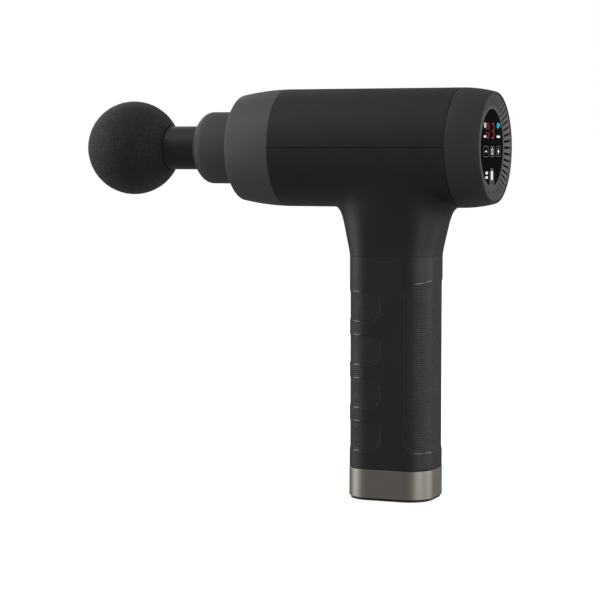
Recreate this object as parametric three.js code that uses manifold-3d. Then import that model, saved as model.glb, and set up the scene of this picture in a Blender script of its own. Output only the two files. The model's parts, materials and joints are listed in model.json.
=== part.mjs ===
// Handheld percussion massage gun, in millimetres, +Z up.
// Origin: on the flat base under the handle, directly below the crank's axis. +X runs along the barrel
// towards the display end, so the massage head points to -X. The percussion axis is AXIS_Z above the base.
import * as THREE from "three";
import { mergeVertices } from "three/addons/utils/BufferGeometryUtils.js";
import Module from "manifold-3d";

const wasm = await Module();
wasm.setup();

// ---------------------------------------------------------------- driving dimensions
const GAP = 0.3; // between neighbouring pieces
const AXIS_Z = 183.4; // height of the percussion axis
const BARREL_R = 31;
const WALL = 2.6; // barrel shells
const SEAM_FRONT = -60.3; // nose cap meets the barrel shells
const SEAM_REAR = 36.4; // barrel shells meet the rear cap
const NECK_Z = 127.4; // bottom of the neck, top of the handle shell
const HANDLE_X = 0.45; // centre of the handle and its base
const BAND_TOP = 16.3;
const PLATE_T = 1; // visible edge of the base plate below the metal band

const NOSE = { face: -88.2, centreR: 15.7, axial: 3.9, radial: 12.5, taperEnd: -57.5, wall: 3, innerR: 25 };
const COLLAR = { r: 19.2, lipR: 12.3, boreR: 16.4, domeX: -103.7, domeR: -2.5, axial: 10.3, radial: 21.7 };
const COLLAR_FLANGE = { r: 24, thick: 2.6 };
const SPIGOT = { length: 3.2, thick: 1.2 }; // locating ring of each end cap, inside the barrel shells
const RIM = { x: 54.6, r: 27.9, filletX: 1.5, filletR: 1.1, taperStart: 36.6 };
const DISH = { outerR: 27.3, outerX: 54.2, flatR: 21.2, innerR: 19.8, innerX: 52.3, thick: 1.6, ledge: 0.7 };
const SLOT = { count: 45, width: 1.2, innerR: 21.3, outerR: 26.7 };
const TAB = { width: 7.8, top: -10.2, r: 3.9, lightHalf: 1.5, lightZ: -14.2, lightLength: 6, proud: 0.2 };
const LENS = { r: 19.5, front: 52.3, thick: 1.4 };
const KEY = { width: 9, height: 6.6, r: 1.6, pitch: 10.8, z: -1.9, back: 49.3 };
const CARRIER = { front: 42.5, floor: 1.7, innerR: 18, outerR: 20.8 };
const BOARDS = { displayX: 46.6, displayR: 17.4, controlX: 38, controlR: 24, thick: 1.6 };

const BALL = { x: -152, r: 25.5 };
const STEM = {
  r: 11.65, coreR: 9, hollowR: 5, plugR: 7.9, coreEnd: -162.7, shoulder: -131, joint: -100, plugEnd: -76,
};
const O_RING = { x: -88, grooveR: 6, grooveHalf: 1.15, beadR: 0.82, ringR: 7.16 };
const SHAFT = { boreR: 8.3, boreEnd: -74, hollowR: 6.5, hollowEnd: -65.5, tail: -62, rodR: 5, rodEnd: -12.3 };
const SLEEVE = { outerR: 14.5, boreR: 12.02, front: -104, rear: -48, flangeR: 18, flange: 3 };

const CRANK = { throw: 6, discR: 12, discTop: -8.6, weightR: 15.2, pinTop: 4.9 }; // stroke: twice the throw
const ROLLER = { r: 5.5, boreR: 2.85, half: 3.5, clipR: 4, clipThick: 0.8 };
const SLOT_PLAY = 0.9; // on each side of the roller, so that a constant ratio can stand in for the sine
const YOKE = { wall: 4, half: 4, bossR: 7.6, bossFront: -17.6 };
const CROSS_PIN = { x: -14.4, r: 1.22, holeR: 1.55, half: 7 };
const CHASSIS = {
  front: -47.7, rear: 21, wall: 3.2, wallTop: 15, plateTop: -13, plate: 3,
  railIn: 16, railOut: 19.2, railTop: 5,
};
const MOTOR = {
  r: 17, bellTop: -21.5, bellBottom: -43, bellWall: 2.2, shaftR: 2.5, tubeR: 5, screwCircle: 8,
};
const STATOR = { r: 13.8, boreR: 5.4, bottom: -38, top: -23, teeth: 9 };
const FAN = { front: 24, rear: 33, half: 18.5, ductR: 17.2, hubR: 6.5, bladeR: 16.4, blades: 7, pitch: 38 };

const GRIP = { a: 22.95, b: 19, r: 13.3 }; // half length, half width and corner radius of the handle
const NECK = { a: 23, b: 19.1, r: 13.3 };
const NECK_END = { front: 33.3, rear: 34.8, angle: THREE.MathUtils.degToRad(67) }; // on the barrel
// Control of the neck's curve at its front, and what is added to that at its sides.
const NECK_CURVE = {
  rise: 10.1, riseSide: 4.1, pull: 6.4, pullSide: 8, swellX: 1.5, swellY: 0.4, early: 0.75,
};
const BAND = { a: 23.05, b: 19.1, r: 13.3, wall: 1.9 };
const SHELL_WALL = 2;
const PAD = { depth: 1.1, thick: 0.7, count: 4, top: 108.9, pitch: 22.5, height: 15.2, reach: -2.6, r: 6 };
const REAR_PAD = { left: 11.2, bottom: 25.9, top: 113.4, arch: 4, r: 6 };
const CELL = { r: 9, length: 65, bottom: 34, pairX: 11, pairY: -7.15, singleY: 7.7 };
const TRAY_T = 3;
const CELL_BOARD = { a: 15, b: 12, above: 3.6, thick: 1.6 };
const BASE_TOP = 7; // top of the plug that fills the metal band
const ROCKER = { x: -9, z: 5, length: 13.4, width: 8.4, tilt: THREE.MathUtils.degToRad(7) };
const JACK = { x: 9.5, r: 4.4, boreR: 3.2, boreTop: 9, top: 12, pinR: 1 };
const SCREW = { x: 15, y: 11.5, headR: 2.3, shankR: 1.2 };

// ---------------------------------------------------------------- geometry helpers
function solid(geometry) {
  const bare = geometry.index ? geometry.toNonIndexed() : geometry.clone();
  bare.deleteAttribute("normal");
  bare.deleteAttribute("uv");
  const merged = mergeVertices(bare, 1e-4);
  return new wasm.Manifold(
    new wasm.Mesh({
      numProp: 3,
      vertProperties: new Float32Array(merged.attributes.position.array),
      triVerts: new Uint32Array(merged.index.array),
    }),
  );
}

// A solid of revolution about X. The outline lists [x, radius] corners, counter-clockwise, x to the right.
function turned(outline, segments = 28) {
  const points = [...outline, outline[0]].map(([x, r]) => new THREE.Vector2(Math.max(r, 0), x));
  const lathe = new THREE.LatheGeometry(points, segments);
  return upright(solid(lathe.rotateZ(-Math.PI / 2)));
}

// The same, about Z: the outline lists [z, radius].
function turnedZ(outline, segments = 24) {
  const points = [...outline, outline[0]].map(([z, r]) => new THREE.Vector2(Math.max(r, 0), z));
  const lathe = new THREE.LatheGeometry(points, segments);
  return upright(solid(lathe.rotateX(Math.PI / 2)));
}

// Reverses a solid whose outline ran the other way round.
function upright(made) {
  if (made.volume() > 0) return made;
  const mesh = made.getMesh();
  const tris = mesh.triVerts.slice();
  for (let i = 0; i < tris.length; i += 3) [tris[i + 1], tris[i + 2]] = [tris[i + 2], tris[i + 1]];
  const { numProp, vertProperties } = mesh;
  return new wasm.Manifold(new wasm.Mesh({ numProp, vertProperties, triVerts: tris }));
}

const rod = (x0, x1, r, segments) => turned([[x0, 0], [x1, 0], [x1, r], [x0, r]], segments);
const post = (z0, z1, r, segments) => turnedZ([[z0, 0], [z1, 0], [z1, r], [z0, r]], segments);
const tube = (x0, x1, inner, outer, segments) =>
  turned([[x0, inner], [x1, inner], [x1, outer], [x0, outer]], segments);
const ringZ = (z0, z1, inner, outer, segments) =>
  turnedZ([[z0, inner], [z1, inner], [z1, outer], [z0, outer]], segments);

function box([x0, x1], [y0, y1], [z0, z1]) {
  const block = new THREE.BoxGeometry(x1 - x0, y1 - y0, z1 - z0);
  return solid(block.translate((x0 + x1) / 2, (y0 + y1) / 2, (z0 + z1) / 2));
}

// A rectangle of half sizes a and b with round corners.
function roundedRectangle(a, b, r) {
  const shape = new THREE.Shape();
  shape.moveTo(a, -(b - r));
  shape.absarc(a - r, b - r, r, 0, Math.PI / 2);
  shape.absarc(-(a - r), b - r, r, Math.PI / 2, Math.PI);
  shape.absarc(-(a - r), -(b - r), r, Math.PI, Math.PI * 1.5);
  shape.absarc(a - r, -(b - r), r, Math.PI * 1.5, Math.PI * 2);
  return shape;
}

const extrude = (shape, depth, curveSegments = 6) =>
  new THREE.ExtrudeGeometry(shape, { depth, curveSegments, bevelEnabled: false });

// A prism of the handle's section, inset all round, from z0 to z1.
const prism = ({ a, b, r }, inset, z0, z1) =>
  solid(extrude(roundedRectangle(a - inset, b - inset, r - inset), z1 - z0).translate(0, 0, z0));

// A shape drawn in X and Z, carried right through the object along Y.
const throughY = (shape, half = 30) =>
  solid(extrude(shape, 2 * half, 4).rotateX(Math.PI / 2).translate(0, half, 0));

// A shape drawn as seen from the display end, with width along Y and height along Z.
const facing = (shape, x0, x1, segments = 3) =>
  solid(extrude(shape, x1 - x0, segments).rotateX(Math.PI / 2).rotateZ(Math.PI / 2).translate(x0, 0, 0));

const joined = (first, ...rest) => rest.reduce((all, next) => all.add(next), first);
const cut = (first, ...rest) => rest.reduce((left, next) => left.subtract(next), first);

function geometryOf(made) {
  const mesh = made.getMesh();
  return new THREE.BufferGeometry()
    .setAttribute("position", new THREE.BufferAttribute(mesh.vertProperties.slice(), 3))
    .setIndex(new THREE.BufferAttribute(mesh.triVerts.slice(), 1));
}

// ---------------------------------------------------------------- materials
const finish = (color, roughness, metalness = 0) =>
  new THREE.MeshStandardMaterial({ color, roughness, metalness });
const barrelBlack = finish(0x232323, 0.55);
const capGrey = finish(0x3a3a3b, 0.6);
const softBlack = finish(0x262626, 0.75);
const foam = finish(0x1d1d1e, 0.95);
const stemBlack = finish(0x1b1b1b, 0.4);
const satinMetal = finish(0x8b857a, 0.32, 1);
const glass = finish(0x050506, 0.08);
const steel = finish(0xb4b4b6, 0.3, 1);
const aluminium = finish(0xa3a5a8, 0.42, 1);
const seal = finish(0x121212, 0.8);
const nylon = finish(0xd9d6cc, 0.5);
const copper = finish(0xb56a35, 0.35, 1);
const board = finish(0x14502f, 0.5);
const cellWrap = finish(0x2c5ea8, 0.45);

const gun = new THREE.Group();
const barrel = new THREE.Group();
barrel.position.z = AXIS_Z;
const stand = new THREE.Group();
stand.position.x = HANDLE_X;
gun.add(barrel, stand);

function place(parent, name, made, material) {
  const mesh = new THREE.Mesh(geometryOf(made), material);
  mesh.name = name;
  mesh.castShadow = true;
  parent.add(mesh);
  return mesh;
}

// ---------------------------------------------------------------- massage head, which pulls off forwards
function massageHead() {
  const sphere = solid(new THREE.SphereGeometry(BALL.r, 28, 14).rotateZ(Math.PI / 2).translate(BALL.x, 0, 0));
  const coreHole = rod(STEM.coreEnd - GAP, STEM.shoulder + 1, STEM.coreR + GAP);
  const stemHole = rod(STEM.shoulder - GAP, STEM.joint, STEM.r + GAP);
  place(barrel, "massage_ball", cut(sphere, coreHole, stemHole), foam);

  const { coreEnd } = STEM;
  const [grooveFront, grooveRear] = [O_RING.x - O_RING.grooveHalf, O_RING.x + O_RING.grooveHalf];
  const stem = turned(
    [
      [coreEnd, STEM.hollowR], [grooveFront - 3, STEM.hollowR], [grooveFront - 3, 0], [STEM.plugEnd, 0],
      [STEM.plugEnd, STEM.plugR - 0.8], [STEM.plugEnd - 0.8, STEM.plugR], [grooveRear, STEM.plugR],
      [grooveRear, O_RING.grooveR], [grooveFront, O_RING.grooveR], [grooveFront, STEM.plugR],
      [STEM.joint, STEM.plugR], [STEM.joint, STEM.r], [STEM.shoulder, STEM.r], [STEM.shoulder, STEM.coreR],
      [coreEnd + 2, STEM.coreR], [coreEnd, STEM.coreR - 2],
    ],
  );
  place(barrel, "head_stem", stem, stemBlack);

  const bead = Array.from({ length: 6 }, (_, i) => {
    const a = (i / 6) * Math.PI * 2;
    return [O_RING.x + O_RING.beadR * Math.cos(a), O_RING.ringR + O_RING.beadR * Math.sin(a)];
  });
  place(barrel, "stem_o_ring", turned(bead, 24), seal);
}

// ---------------------------------------------------------------- percussion shaft and its drive yoke
function percussionShaft() {
  const front = STEM.joint + GAP;
  const shaft = turned(
    [
      [SHAFT.hollowEnd, 0], [SHAFT.rodEnd, 0], [SHAFT.rodEnd, SHAFT.rodR], [SHAFT.tail, SHAFT.rodR],
      [SHAFT.tail, STEM.r - 1], [SHAFT.tail - 1, STEM.r], [front, STEM.r], [front, SHAFT.boreR],
      [SHAFT.boreEnd, SHAFT.boreR], [SHAFT.boreEnd, SHAFT.hollowR], [SHAFT.hollowEnd, SHAFT.hollowR],
    ],
  );
  const pin = (half, r) => rod(-half, half, r, 12).rotate([0, -90, 0]).translate([CROSS_PIN.x, 0, 0]);
  const pinHole = pin(CROSS_PIN.half + 2, CROSS_PIN.holeR);
  place(barrel, "percussion_shaft", cut(shaft, pinHole), aluminium);

  const slotX = ROLLER.r + SLOT_PLAY;
  const slotY = CRANK.throw + ROLLER.r + 0.4;
  const [frameX, frameY] = [slotX + YOKE.wall, slotY + YOKE.wall - GAP];
  const frame = box([-frameX, frameX], [-frameY, frameY], [-YOKE.half, YOKE.half]);
  const boss = rod(YOKE.bossFront, -frameX + 1, YOKE.bossR, 24);
  const rodHole = rod(YOKE.bossFront - 1, SHAFT.rodEnd + GAP, SHAFT.rodR + GAP);
  const slot = box([-slotX, slotX], [-slotY, slotY], [-YOKE.half - 1, YOKE.half + 1]);
  place(barrel, "drive_yoke", cut(joined(frame, boss), rodHole, slot, pinHole), aluminium);
  place(barrel, "yoke_cross_pin", pin(CROSS_PIN.half, CROSS_PIN.r), steel);
}

// ---------------------------------------------------------------- crank, which the motor turns
function crankAndRotor() {
  const [discBottom, discTop] = [CHASSIS.plateTop + 0.5, CRANK.discTop];
  const atPin = (made) => made.translate([0, CRANK.throw, 0]);
  const shaftHole = post(discBottom - 1, discTop + 1, MOTOR.shaftR + GAP, 16);
  const disc = post(discBottom, discTop, CRANK.discR, 28);
  const sector = new THREE.Shape();
  sector.moveTo(0, 0);
  sector.absarc(0, 0, CRANK.weightR, Math.PI * 1.1, Math.PI * 1.9);
  sector.lineTo(0, 0);
  const weight = solid(extrude(sector, discTop - discBottom).translate(0, 0, discBottom));
  place(barrel, "crank_disc", cut(joined(disc, weight), shaftHole, atPin(shaftHole)), steel);
  place(barrel, "crank_pin", atPin(post(discBottom, CRANK.pinTop, MOTOR.shaftR, 16)), steel);
  const roller = ringZ(-ROLLER.half, ROLLER.half, ROLLER.boreR, ROLLER.r, 24);
  place(barrel, "crank_roller", atPin(roller), nylon);
  const clipBottom = ROLLER.half + GAP;
  const clip = ringZ(clipBottom, clipBottom + ROLLER.clipThick, ROLLER.boreR, ROLLER.clipR, 16);
  place(barrel, "roller_clip", atPin(clip), steel);

  const m = MOTOR;
  const [seat, lining] = [m.shaftR + GAP + 0.05, m.r - m.bellWall];
  place(barrel, "motor_shaft", post(m.bellBottom, discTop, m.shaftR, 16), steel);
  const bell = turnedZ(
    [
      [m.bellBottom, seat], [m.bellBottom, m.r - 1], [m.bellBottom + 1, m.r], [m.bellTop, m.r],
      [m.bellTop, lining], [m.bellBottom + 2, lining], [m.bellBottom + 2, seat],
    ],
    28,
  );
  place(barrel, "motor_bell", bell, steel);
}

// ---------------------------------------------------------------- fixed drive parts
const motorScrewSpots = () => [45, 135, 225, 315].map((deg) => {
  const a = THREE.MathUtils.degToRad(deg);
  return [MOTOR.screwCircle * Math.cos(a), MOTOR.screwCircle * Math.sin(a)];
});

function driveChassis() {
  const c = CHASSIS;
  const plateBottom = c.plateTop - c.plate;
  const between = [c.front + c.wall, c.rear - c.wall];
  const block = box([c.front, c.rear], [-c.railOut, c.railOut], [plateBottom, c.wallTop]);
  const trough = box(between, [-c.railIn, c.railIn], [c.plateTop, c.wallTop + 1]);
  const overRails = box(between, [-c.railOut - 1, c.railOut + 1], [c.railTop, c.wallTop + 1]);
  const rodHole = rod(c.front - 1, c.front + c.wall + 1, SHAFT.rodR + 0.5, 24);
  const tailHole = rod(c.rear - c.wall - 1, c.rear + 1, 10, 24);
  const throughPlate = (r, segments) => post(plateBottom - 1, c.plateTop + 1, r, segments);
  const motorHole = throughPlate(4.2, 20);
  const screwHoles = motorScrewSpots().map(([x, y]) => throughPlate(1.8, 8).translate([x, y, 0]));
  const chassis = cut(block, trough, overRails, rodHole, tailHole, motorHole, ...screwHoles);
  place(barrel, "drive_chassis", chassis, aluminium);

  const s = SLEEVE;
  const step = s.rear - s.flange;
  const sleeve = turned(
    [
      [s.front, s.boreR], [step, s.boreR], [step, SHAFT.rodR + 0.5], [s.rear, SHAFT.rodR + 0.5],
      [s.rear, s.flangeR], [step, s.flangeR], [step, s.outerR], [s.front + 1, s.outerR],
      [s.front, s.outerR - 1],
    ],
  );
  place(barrel, "guide_sleeve", sleeve, nylon);
}

function motorFixed() {
  const flangeTop = CHASSIS.plateTop - CHASSIS.plate - GAP;
  const flangeBottom = MOTOR.bellTop + 0.8;
  const bore = MOTOR.shaftR + 0.8;
  const flange = joined(
    ringZ(flangeBottom, flangeTop, bore, MOTOR.r - 0.5, 24),
    ringZ(STATOR.bottom - 2, flangeBottom + 0.7, bore, MOTOR.tubeR, 16),
  );
  const thread = post(flangeBottom - 1, flangeTop + 1, 1.8, 8);
  const threads = motorScrewSpots().map(([x, y]) => thread.translate([x, y, 0]));
  place(barrel, "motor_mount", cut(flange, ...threads), aluminium);
  motorScrewSpots().forEach(([x, y], i) => {
    const shank = post(flangeBottom + 0.7, CHASSIS.plateTop + 0.2, 1.45, 8);
    place(barrel, `motor_screw_${i + 1}`, shank.translate([x, y, 0]), steel);
  });

  const s = STATOR;
  const reach = [s.bottom - 1, s.top + 1];
  const slots = Array.from({ length: s.teeth }, (_, i) =>
    box([8.2, 12.6], [-1.7, 1.7], reach)
      .add(box([12, s.r + 2], [-0.6, 0.6], reach))
      .rotate([0, 0, (i * 360) / s.teeth]),
  );
  place(barrel, "stator_core", cut(ringZ(s.bottom, s.top, s.boreR, s.r, 27), ...slots), copper);
}

// ---------------------------------------------------------------- barrel casing
// A quarter ellipse of [x, r] points from angle a0 to a1, where 0 faces forwards and 90 degrees outwards.
function ellipse(cx, cr, axial, radial, a0, a1, steps) {
  return Array.from({ length: steps + 1 }, (_, i) => {
    const a = a0 + ((a1 - a0) * i) / steps;
    return [cx - axial * Math.cos(a), cr + radial * Math.sin(a)];
  });
}

function noseCap() {
  const n = NOSE;
  const hole = COLLAR.r + GAP;
  const start = Math.asin((hole - n.centreR) / n.radial);
  const fillet = ellipse(n.face + n.axial, n.centreR, n.axial, n.radial, start, Math.PI / 2, 5);
  const [x0, r0] = [n.face + n.axial, n.centreR + n.radial];
  const flare = (t) => [x0 + (n.taperEnd - x0) * t, r0 + (BARREL_R - r0) * (1 - (1 - t) ** 2)];
  const rear = SEAM_FRONT - GAP / 2;
  const last = (rear - x0) / (n.taperEnd - x0);
  const outer = [...fillet, flare(0.25), flare(0.55), flare(last)];
  const front = n.face + n.wall;
  const spigotR = BARREL_R - WALL - GAP;
  const lining = spigotR - SPIGOT.thick;
  const inner = [
    [rear, spigotR], [rear + SPIGOT.length, spigotR], [rear + SPIGOT.length, lining],
    [front + 7, lining], [front, n.innerR], [front, hole],
  ];
  place(barrel, "nose_cap", turned([...outer, ...inner], 40), capGrey);
}

function frontCollar() {
  const c = COLLAR;
  const start = Math.asin((c.lipR - c.domeR) / c.radial);
  const dome = ellipse(c.domeX, c.domeR, c.axial, c.radial, start, Math.PI / 2, 5);
  const flangeFront = NOSE.face + NOSE.wall + GAP;
  const flangeRear = flangeFront + COLLAR_FLANGE.thick;
  const outline = [
    ...dome, [flangeFront, c.r], [flangeFront, COLLAR_FLANGE.r], [flangeRear, COLLAR_FLANGE.r],
    [flangeRear, c.boreR], [dome[0][0] + 4.5, c.boreR], [dome[0][0] + 3, c.lipR],
  ];
  place(barrel, "front_collar", turned(outline, 32), capGrey);
}

// The neck rises from the handle's section and runs tangentially into the barrel's skin.
function neckPoint(u, t, inset) {
  const [c, s] = [Math.cos(u), Math.sin(u)];
  const section = { a: NECK.a - inset, b: NECK.b - inset, r: NECK.r - inset };
  const [x0, y0] = onSection(section, u);
  const radius = BARREL_R - inset - 0.1;
  const reachX = (c > 0 ? NECK_END.rear : NECK_END.front) - inset;
  const beta = NECK_END.angle * s;
  const end = [reachX * c, radius * Math.sin(beta), -radius * Math.cos(beta)];
  const across = radius * beta;
  const along = new THREE.Vector3(reachX * c, across * Math.cos(beta), across * Math.sin(beta)).normalize();
  const k = NECK_CURVE;
  const pull = k.pull + k.pullSide * s * s;
  const bottom = NECK_Z + GAP - AXIS_Z;
  const p = [
    [x0 + HANDLE_X, y0, bottom],
    [x0 + HANDLE_X, y0, bottom + k.rise + k.riseSide * s * s],
    [end[0] - along.x * pull, end[1] - along.y * pull, end[2] - along.z * pull],
    end,
  ];
  const w = [(1 - t) ** 3, 3 * t * (1 - t) ** 2, 3 * t * t * (1 - t), t ** 3];
  const swell = Math.sin(Math.PI * t ** k.early) ** 2;
  const extra = [k.swellX * c * swell, k.swellY * s * swell, 0];
  return extra.map((start, axis) => p.reduce((sum, q, i) => sum + w[i] * q[axis], start));
}

// Where a ray at angle u leaves a rounded rectangle.
function onSection({ a, b, r }, u) {
  const [c, s] = [Math.abs(Math.cos(u)), Math.abs(Math.sin(u))];
  let d = Math.min(a / Math.max(c, 1e-9), b / Math.max(s, 1e-9));
  if (d * c > a - r && d * s > b - r) {
    const [px, py] = [a - r, b - r];
    const along = c * px + s * py;
    d = along + Math.sqrt(along * along - (px * px + py * py - r * r));
  }
  return [Math.sign(Math.cos(u)) * d * c, Math.sign(Math.sin(u)) * d * s];
}

function neckSolid(inset, around, rows) {
  const rings = [];
  const angles = Array.from({ length: around }, (_, i) => (i / around) * Math.PI * 2);
  for (let j = 0; j <= rows; j++) {
    rings.push(angles.map((u) => neckPoint(u, j / rows, inset)));
  }
  rings.push(rings[rows].map(([x, y]) => [x * 0.7, y * 0.6, -2]));
  if (inset > 0) rings.unshift(rings[0].map(([x, y, z]) => [x, y, z - 2]));
  const centre = (ring) => [0, 0, ring[0][2]];
  const points = [...rings.flat(), centre(rings[0]), centre(rings[rings.length - 1])];
  const [bottomHub, topHub] = [points.length - 2, points.length - 1];
  const faces = [];
  const id = (j, i) => j * around + (i % around);
  for (let i = 0; i < around; i++) {
    faces.push(bottomHub, id(0, i + 1), id(0, i));
    faces.push(topHub, id(rings.length - 1, i), id(rings.length - 1, i + 1));
    for (let j = 0; j + 1 < rings.length; j++) {
      faces.push(id(j, i), id(j, i + 1), id(j + 1, i + 1), id(j, i), id(j + 1, i + 1), id(j + 1, i));
    }
  }
  const skin = new THREE.BufferGeometry()
    .setAttribute("position", new THREE.Float32BufferAttribute(points.flat(), 3))
    .setIndex(faces);
  return upright(solid(skin));
}

function barrelShells() {
  const [x0, x1] = [SEAM_FRONT + GAP / 2, SEAM_REAR - GAP / 2];
  const cylinder = rod(x0, x1, BARREL_R, 56);
  const bore = rod(x0 - 1, x1 + 1, BARREL_R - WALL, 40);
  const above = box([x0 - 1, x1 + 1], [-40, 40], [GAP / 2, 40]);
  const below = box([x0 - 1, x1 + 1], [-40, 40], [-70, -GAP / 2]);
  place(barrel, "upper_housing", cylinder.subtract(bore).intersect(above), barrelBlack);
  const body = cut(joined(cylinder, neckSolid(0, 40, 6)), bore, neckSolid(WALL, 28, 3));
  place(barrel, "lower_housing", body.intersect(below), barrelBlack);
}

// ---------------------------------------------------------------- display end
function rearCap() {
  const m = RIM;
  const front = SEAM_REAR + GAP / 2;
  const [fx, fr] = [m.x - m.filletX, m.r + m.filletR];
  const taper = (t) => [fx + (m.taperStart - fx) * t, fr + (BARREL_R - fr) * (1 - (1 - t) ** 2)];
  const seat = DISH.outerR + GAP;
  const ledgeR = seat - DISH.ledge;
  const ledgeX = DISH.outerX - DISH.thick - GAP;
  const spigotR = BARREL_R - WALL - GAP;
  const lining = spigotR - SPIGOT.thick;
  const outline = [
    [front, BARREL_R], taper(0.6), taper(0.3), [fx, fr], [m.x - 0.4, fr - 0.4], [m.x, m.r], [m.x - 0.3, seat],
    [ledgeX, seat], [ledgeX, ledgeR], [ledgeX - 1.5, ledgeR], [ledgeX - 2.5, lining],
    [front - SPIGOT.length, lining], [front - SPIGOT.length, spigotR], [front, spigotR],
  ];
  place(barrel, "rear_cap", turned(outline, 40), capGrey);
}

function ventGrille() {
  const d = DISH;
  const ring = turned(
    [
      [d.innerX - d.thick, d.innerR], [d.innerX, d.innerR], [d.innerX, d.flatR], [d.outerX, d.outerR],
      [d.outerX - d.thick, d.outerR], [d.innerX - d.thick, d.flatR],
    ],
    SLOT.count,
  );
  const slots = Array.from({ length: SLOT.count }, (_, i) =>
    box([d.innerX - 3, d.outerX + 1], [SLOT.innerR, SLOT.outerR], [-SLOT.width / 2, SLOT.width / 2])
      .rotate([(i * 360) / SLOT.count, 0, 0]),
  );
  const back = LENS.front - LENS.thick;
  const tab = facing(tabShape(0), back, d.innerX);
  const light = throughLens(lightShape(GAP));
  place(barrel, "vent_grille", cut(joined(cut(ring, ...slots), tab), light), capGrey);
  place(barrel, "status_light", facing(lightShape(0), back, d.innerX + TAB.proud), nylon);
}

// The tab that rises from the bottom of the vent ring over the display, and the light set into it.
function tabShape(grow) {
  const { width, top, r } = TAB;
  const [w, foot] = [width / 2 + grow, -(DISH.innerR + 0.8)];
  const shape = new THREE.Shape();
  shape.moveTo(-w, foot);
  shape.lineTo(w, foot);
  shape.lineTo(w, top - r);
  shape.absarc(0, top - r, w, 0, Math.PI);
  return shape;
}

function lightShape(grow) {
  const half = TAB.lightHalf + grow;
  const run = TAB.lightLength / 2 - TAB.lightHalf;
  const shape = new THREE.Shape();
  shape.moveTo(half, TAB.lightZ - run);
  shape.lineTo(half, TAB.lightZ + run);
  shape.absarc(0, TAB.lightZ + run, half, 0, Math.PI);
  shape.lineTo(-half, TAB.lightZ - run);
  shape.absarc(0, TAB.lightZ - run, half, Math.PI, Math.PI * 2);
  return shape;
}

// A hole of the given outline, right through the display end.
const throughLens = (shape) => facing(shape, LENS.front - 10, LENS.front + 10);

function displayStack() {
  const back = LENS.front - LENS.thick;
  const keys = { minus_key: -1, power_key: 0, plus_key: 1 };
  const keyShape = (grow) => roundedRectangle(KEY.width / 2 + grow, KEY.height / 2 + grow, KEY.r + grow);
  const keyHole = throughLens(keyShape(GAP));
  const windows = Object.values(keys).map((k) => keyHole.translate([0, k * KEY.pitch, KEY.z]));
  const tabGap = throughLens(tabShape(GAP));
  place(barrel, "display_lens", cut(rod(back, LENS.front, LENS.r, 45), ...windows, tabGap), glass);
  for (const [name, k] of Object.entries(keys)) {
    const key = facing(keyShape(0), KEY.back, LENS.front);
    place(barrel, name, key.translate([0, k * KEY.pitch, KEY.z]), glass);
  }
  const c = CARRIER;
  const floor = rod(c.front, c.front + c.floor, c.outerR, 36);
  const wall = tube(c.front + c.floor - 0.2, back - GAP, c.innerR, c.outerR, 36);
  place(barrel, "display_carrier", joined(wall, floor), stemBlack);
  const b = BOARDS;
  place(barrel, "display_board", rod(b.displayX, b.displayX + b.thick, b.displayR, 28), board);
  place(barrel, "control_board", rod(b.controlX, b.controlX + b.thick, b.controlR, 28), board);
}

// ---------------------------------------------------------------- cooling fan behind the control board
function coolingFan() {
  const f = FAN;
  const strut = f.rear - 1.4;
  const frame = box([f.front, f.rear], [-f.half, f.half], [-f.half, f.half]);
  const duct = rod(f.front - 1, f.rear + 1, f.ductR, 32);
  const arm = box([strut, f.rear], [-f.ductR - 0.8, f.ductR + 0.8], [-1.2, 1.2]);
  const spider = joined(rod(strut, f.rear, f.hubR, 20), arm, arm.rotate([90, 0, 0]));
  place(barrel, "fan_frame", joined(cut(frame, duct), spider), seal);
  const [hubFront, hubRear] = [f.front + 0.6, strut - 0.4];
  const blades = Array.from({ length: f.blades }, (_, i) =>
    box([-3.2, 3.2], [-0.7, 0.7], [f.hubR - 1, f.bladeR])
      .rotate([0, 0, f.pitch])
      .translate([(hubFront + hubRear) / 2, 0, 0])
      .rotate([(i * 360) / f.blades, 0, 0]),
  );
  place(barrel, "fan_rotor", joined(rod(hubFront, hubRear, f.hubR, 21), ...blades), seal);
}

// ---------------------------------------------------------------- handle
// The outline of a grip panel in X and Z, open towards the side that it wraps.
function panelShape({ edge, wrap, bottom, top, arch, r }, grow) {
  const dir = Math.sign(wrap - edge);
  const [x, z0, z1, k] = [edge - dir * grow, bottom - grow, top + grow, r + grow];
  const shape = new THREE.Shape();
  shape.moveTo(wrap, z0);
  shape.lineTo(x + dir * k, z0);
  shape.quadraticCurveTo(x, z0, x, z0 + k);
  shape.lineTo(x, z1 - k);
  shape.quadraticCurveTo(x, z1, x + dir * k, z1 + arch * 0.3);
  shape.lineTo(wrap, z1 + arch);
  return shape;
}

const fingerPanel = (i) => {
  const top = PAD.top - i * PAD.pitch;
  return { edge: PAD.reach, wrap: -30, bottom: top - PAD.height, top, arch: 0, r: PAD.r };
};
const rearPanel = { edge: REAR_PAD.left, wrap: 30, ...REAR_PAD };

function handle() {
  const [z0, z1] = [BAND_TOP + GAP, NECK_Z];
  const panels = [...Array.from({ length: PAD.count }, (_, i) => fingerPanel(i)), rearPanel];
  const pocketRing = cut(prism(GRIP, -1, z0 - 1, z1 + 1), prism(GRIP, PAD.depth, z0 - 2, z1 + 2));
  const pockets = panels.map((p) => pocketRing.intersect(throughY(panelShape(p, GAP))));
  const shell = cut(prism(GRIP, 0, z0, z1), prism(GRIP, SHELL_WALL, z0 - 1, z1 + 1), ...pockets);
  place(stand, "handle_shell", shell, softBlack);

  const inset = PAD.depth - GAP - PAD.thick;
  const padRing = cut(prism(GRIP, inset, z0, z1), prism(GRIP, inset + PAD.thick, z0 - 1, z1 + 1));
  panels.slice(0, PAD.count).forEach((p, i) => {
    place(stand, `finger_pad_${i + 1}`, padRing.intersect(throughY(panelShape(p, 0))), softBlack);
  });
  place(stand, "rear_grip_pad", padRing.intersect(throughY(panelShape(rearPanel, 0))), softBlack);
}

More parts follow.
